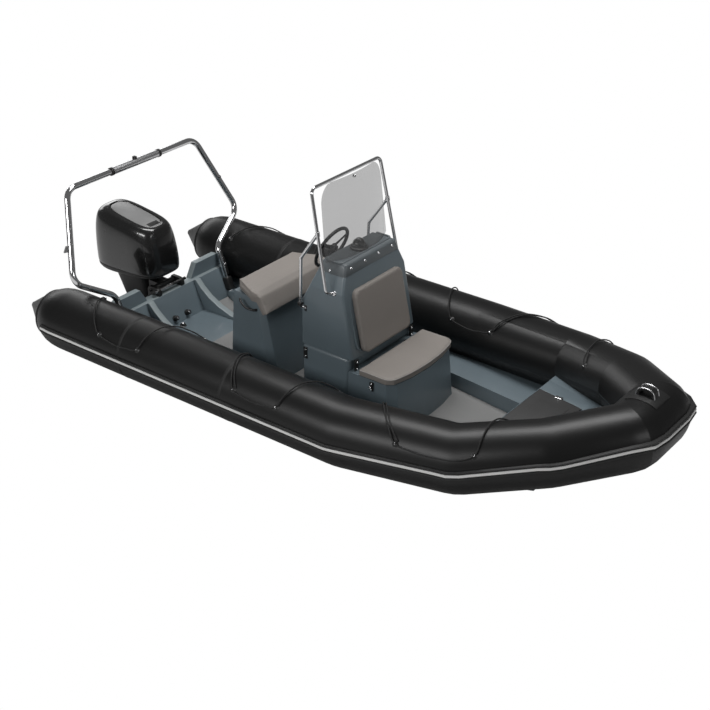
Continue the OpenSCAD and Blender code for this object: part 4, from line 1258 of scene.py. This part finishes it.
BLADE = [
    # distance from the shaft, half chord, pitch in degrees
    (0.034, 0.030, 46), (0.070, 0.050, 40), (0.105, 0.057, 34), (0.135, 0.052, 29),
    (0.156, 0.036, 26), (0.166, 0.018, 25), (0.169, 0.006, 25)]
for k in range(BLADE_COUNT):
    about = Matrix.Translation(PROP) @ Matrix.Rotation(2 * math.pi * k / BLADE_COUNT, 4, "X")
    rings = []
    for r, chord, pitch in BLADE:
        p = math.radians(pitch)
        along = Vector((math.sin(p), -math.cos(p), 0))
        thick = Vector((math.cos(p), math.sin(p), 0))
        half_thick = 0.0055 * (1 - r / 0.2)
        rings.append([about @ (Vector((0, 0, r)) + along * chord * math.cos(b)
                               + thick * half_thick * math.sin(b))
                      for b in (2 * math.pi * j / 20 for j in range(20))])
    blades.append(mesh_object("blade", *skin(rings), satin_black, 50))
place(joined("propeller_blades", blades), "propeller", "motor_parts", "propeller")
print("blades:", len(blades) - 1)

# %% [markdown]
# ## Put the loose parts away
# The screw and ring that the tree copied stand at the origin; only their copies belong on the
# boat, so the originals are deleted.

# %% Remove the pattern parts
for part in PARTS:
    bpy.data.objects.remove(part)
print("pattern parts removed")

# %% [markdown]
# ## The stage
# The boat floats, so the pale floor lies at its waterline and hides what is under water. A large
# soft lamp overhead gives the long highlight on the tubes, one fills the starboard side, and two
# weaker ones at the bow and astern give the steel something bright to mirror. The world is a dim
# even light that looks white only to the camera.

# %% Floor, lamps and world
def make_stage():
    bpy.ops.mesh.primitive_plane_add(size=80, location=(2, 0, 0))
    floor = bpy.context.object
    floor.name = "pale_floor"
    material = bpy.data.materials.new("pale_floor")
    material.use_nodes = True
    nodes, links = material.node_tree.nodes, material.node_tree.links
    shader = nodes["Principled BSDF"]
    shader.inputs["Base Color"].default_value = (0.60, 0.60, 0.60, 1)
    shader.inputs["Roughness"].default_value = 0.9
    shader.inputs["Specular IOR Level"].default_value = 0.0
    glow = nodes.new("ShaderNodeEmission")
    seen = nodes.new("ShaderNodeLightPath")
    mixer = nodes.new("ShaderNodeMixShader")
    either = nodes.new("ShaderNodeMath")
    either.operation = "MAXIMUM"
    links.new(seen.outputs["Is Camera Ray"], either.inputs[0])
    links.new(seen.outputs["Transparent Depth"], either.inputs[1])
    links.new(either.outputs[0], mixer.inputs[0])
    links.new(shader.outputs[0], mixer.inputs[1])
    links.new(glow.outputs[0], mixer.inputs[2])
    links.new(mixer.outputs[0], nodes["Material Output"].inputs[0])
    floor.data.materials.append(material)


def make_lamp(name, place, aim, size, power):
    lamp = bpy.data.lights.new(name, "AREA")
    lamp.shape, lamp.size, lamp.size_y = "RECTANGLE", size[0], size[1]
    lamp.energy = power
    lamp_object = bpy.data.objects.new(name, lamp)
    bpy.context.scene.collection.objects.link(lamp_object)
    lamp_object.location = place
    lamp_object.rotation_euler = (Vector(aim) - Vector(place)).to_track_quat("-Z", "Y").to_euler()


def make_world():
    world = bpy.data.worlds.new("studio")
    bpy.context.scene.world = world
    world.use_nodes = True
    nodes, links = world.node_tree.nodes, world.node_tree.links
    shader = nodes["Background"]
    seen = nodes.new("ShaderNodeLightPath")
    bright = nodes.new("ShaderNodeMapRange")
    bright.inputs["To Min"].default_value = 0.12
    bright.inputs["To Max"].default_value = 1.0
    links.new(seen.outputs["Is Camera Ray"], bright.inputs["Value"])
    links.new(bright.outputs[0], shader.inputs["Strength"])
    shader.inputs["Color"].default_value = (1, 1, 1, 1)


make_stage()
make_world()
make_lamp("overhead", (1.6, 1.2, 7.0), (1.8, 0.0, 0.3), (7, 2.2), 430)
make_lamp("side_fill", (0.8, -8.0, 4.6), (1.8, 0, 0.5), (6, 1.6), 270)
make_lamp("bow_fill", (10.0, -1.0, 3.5), (2.5, 0, 0.5), (3, 1.2), 60)
make_lamp("aft_glow", (-7.0, 3.0, 3.2), (0.0, 0, 0.8), (6, 3), 130)
bpy.context.scene.view_settings.view_transform = "Standard"
print("stage ready")
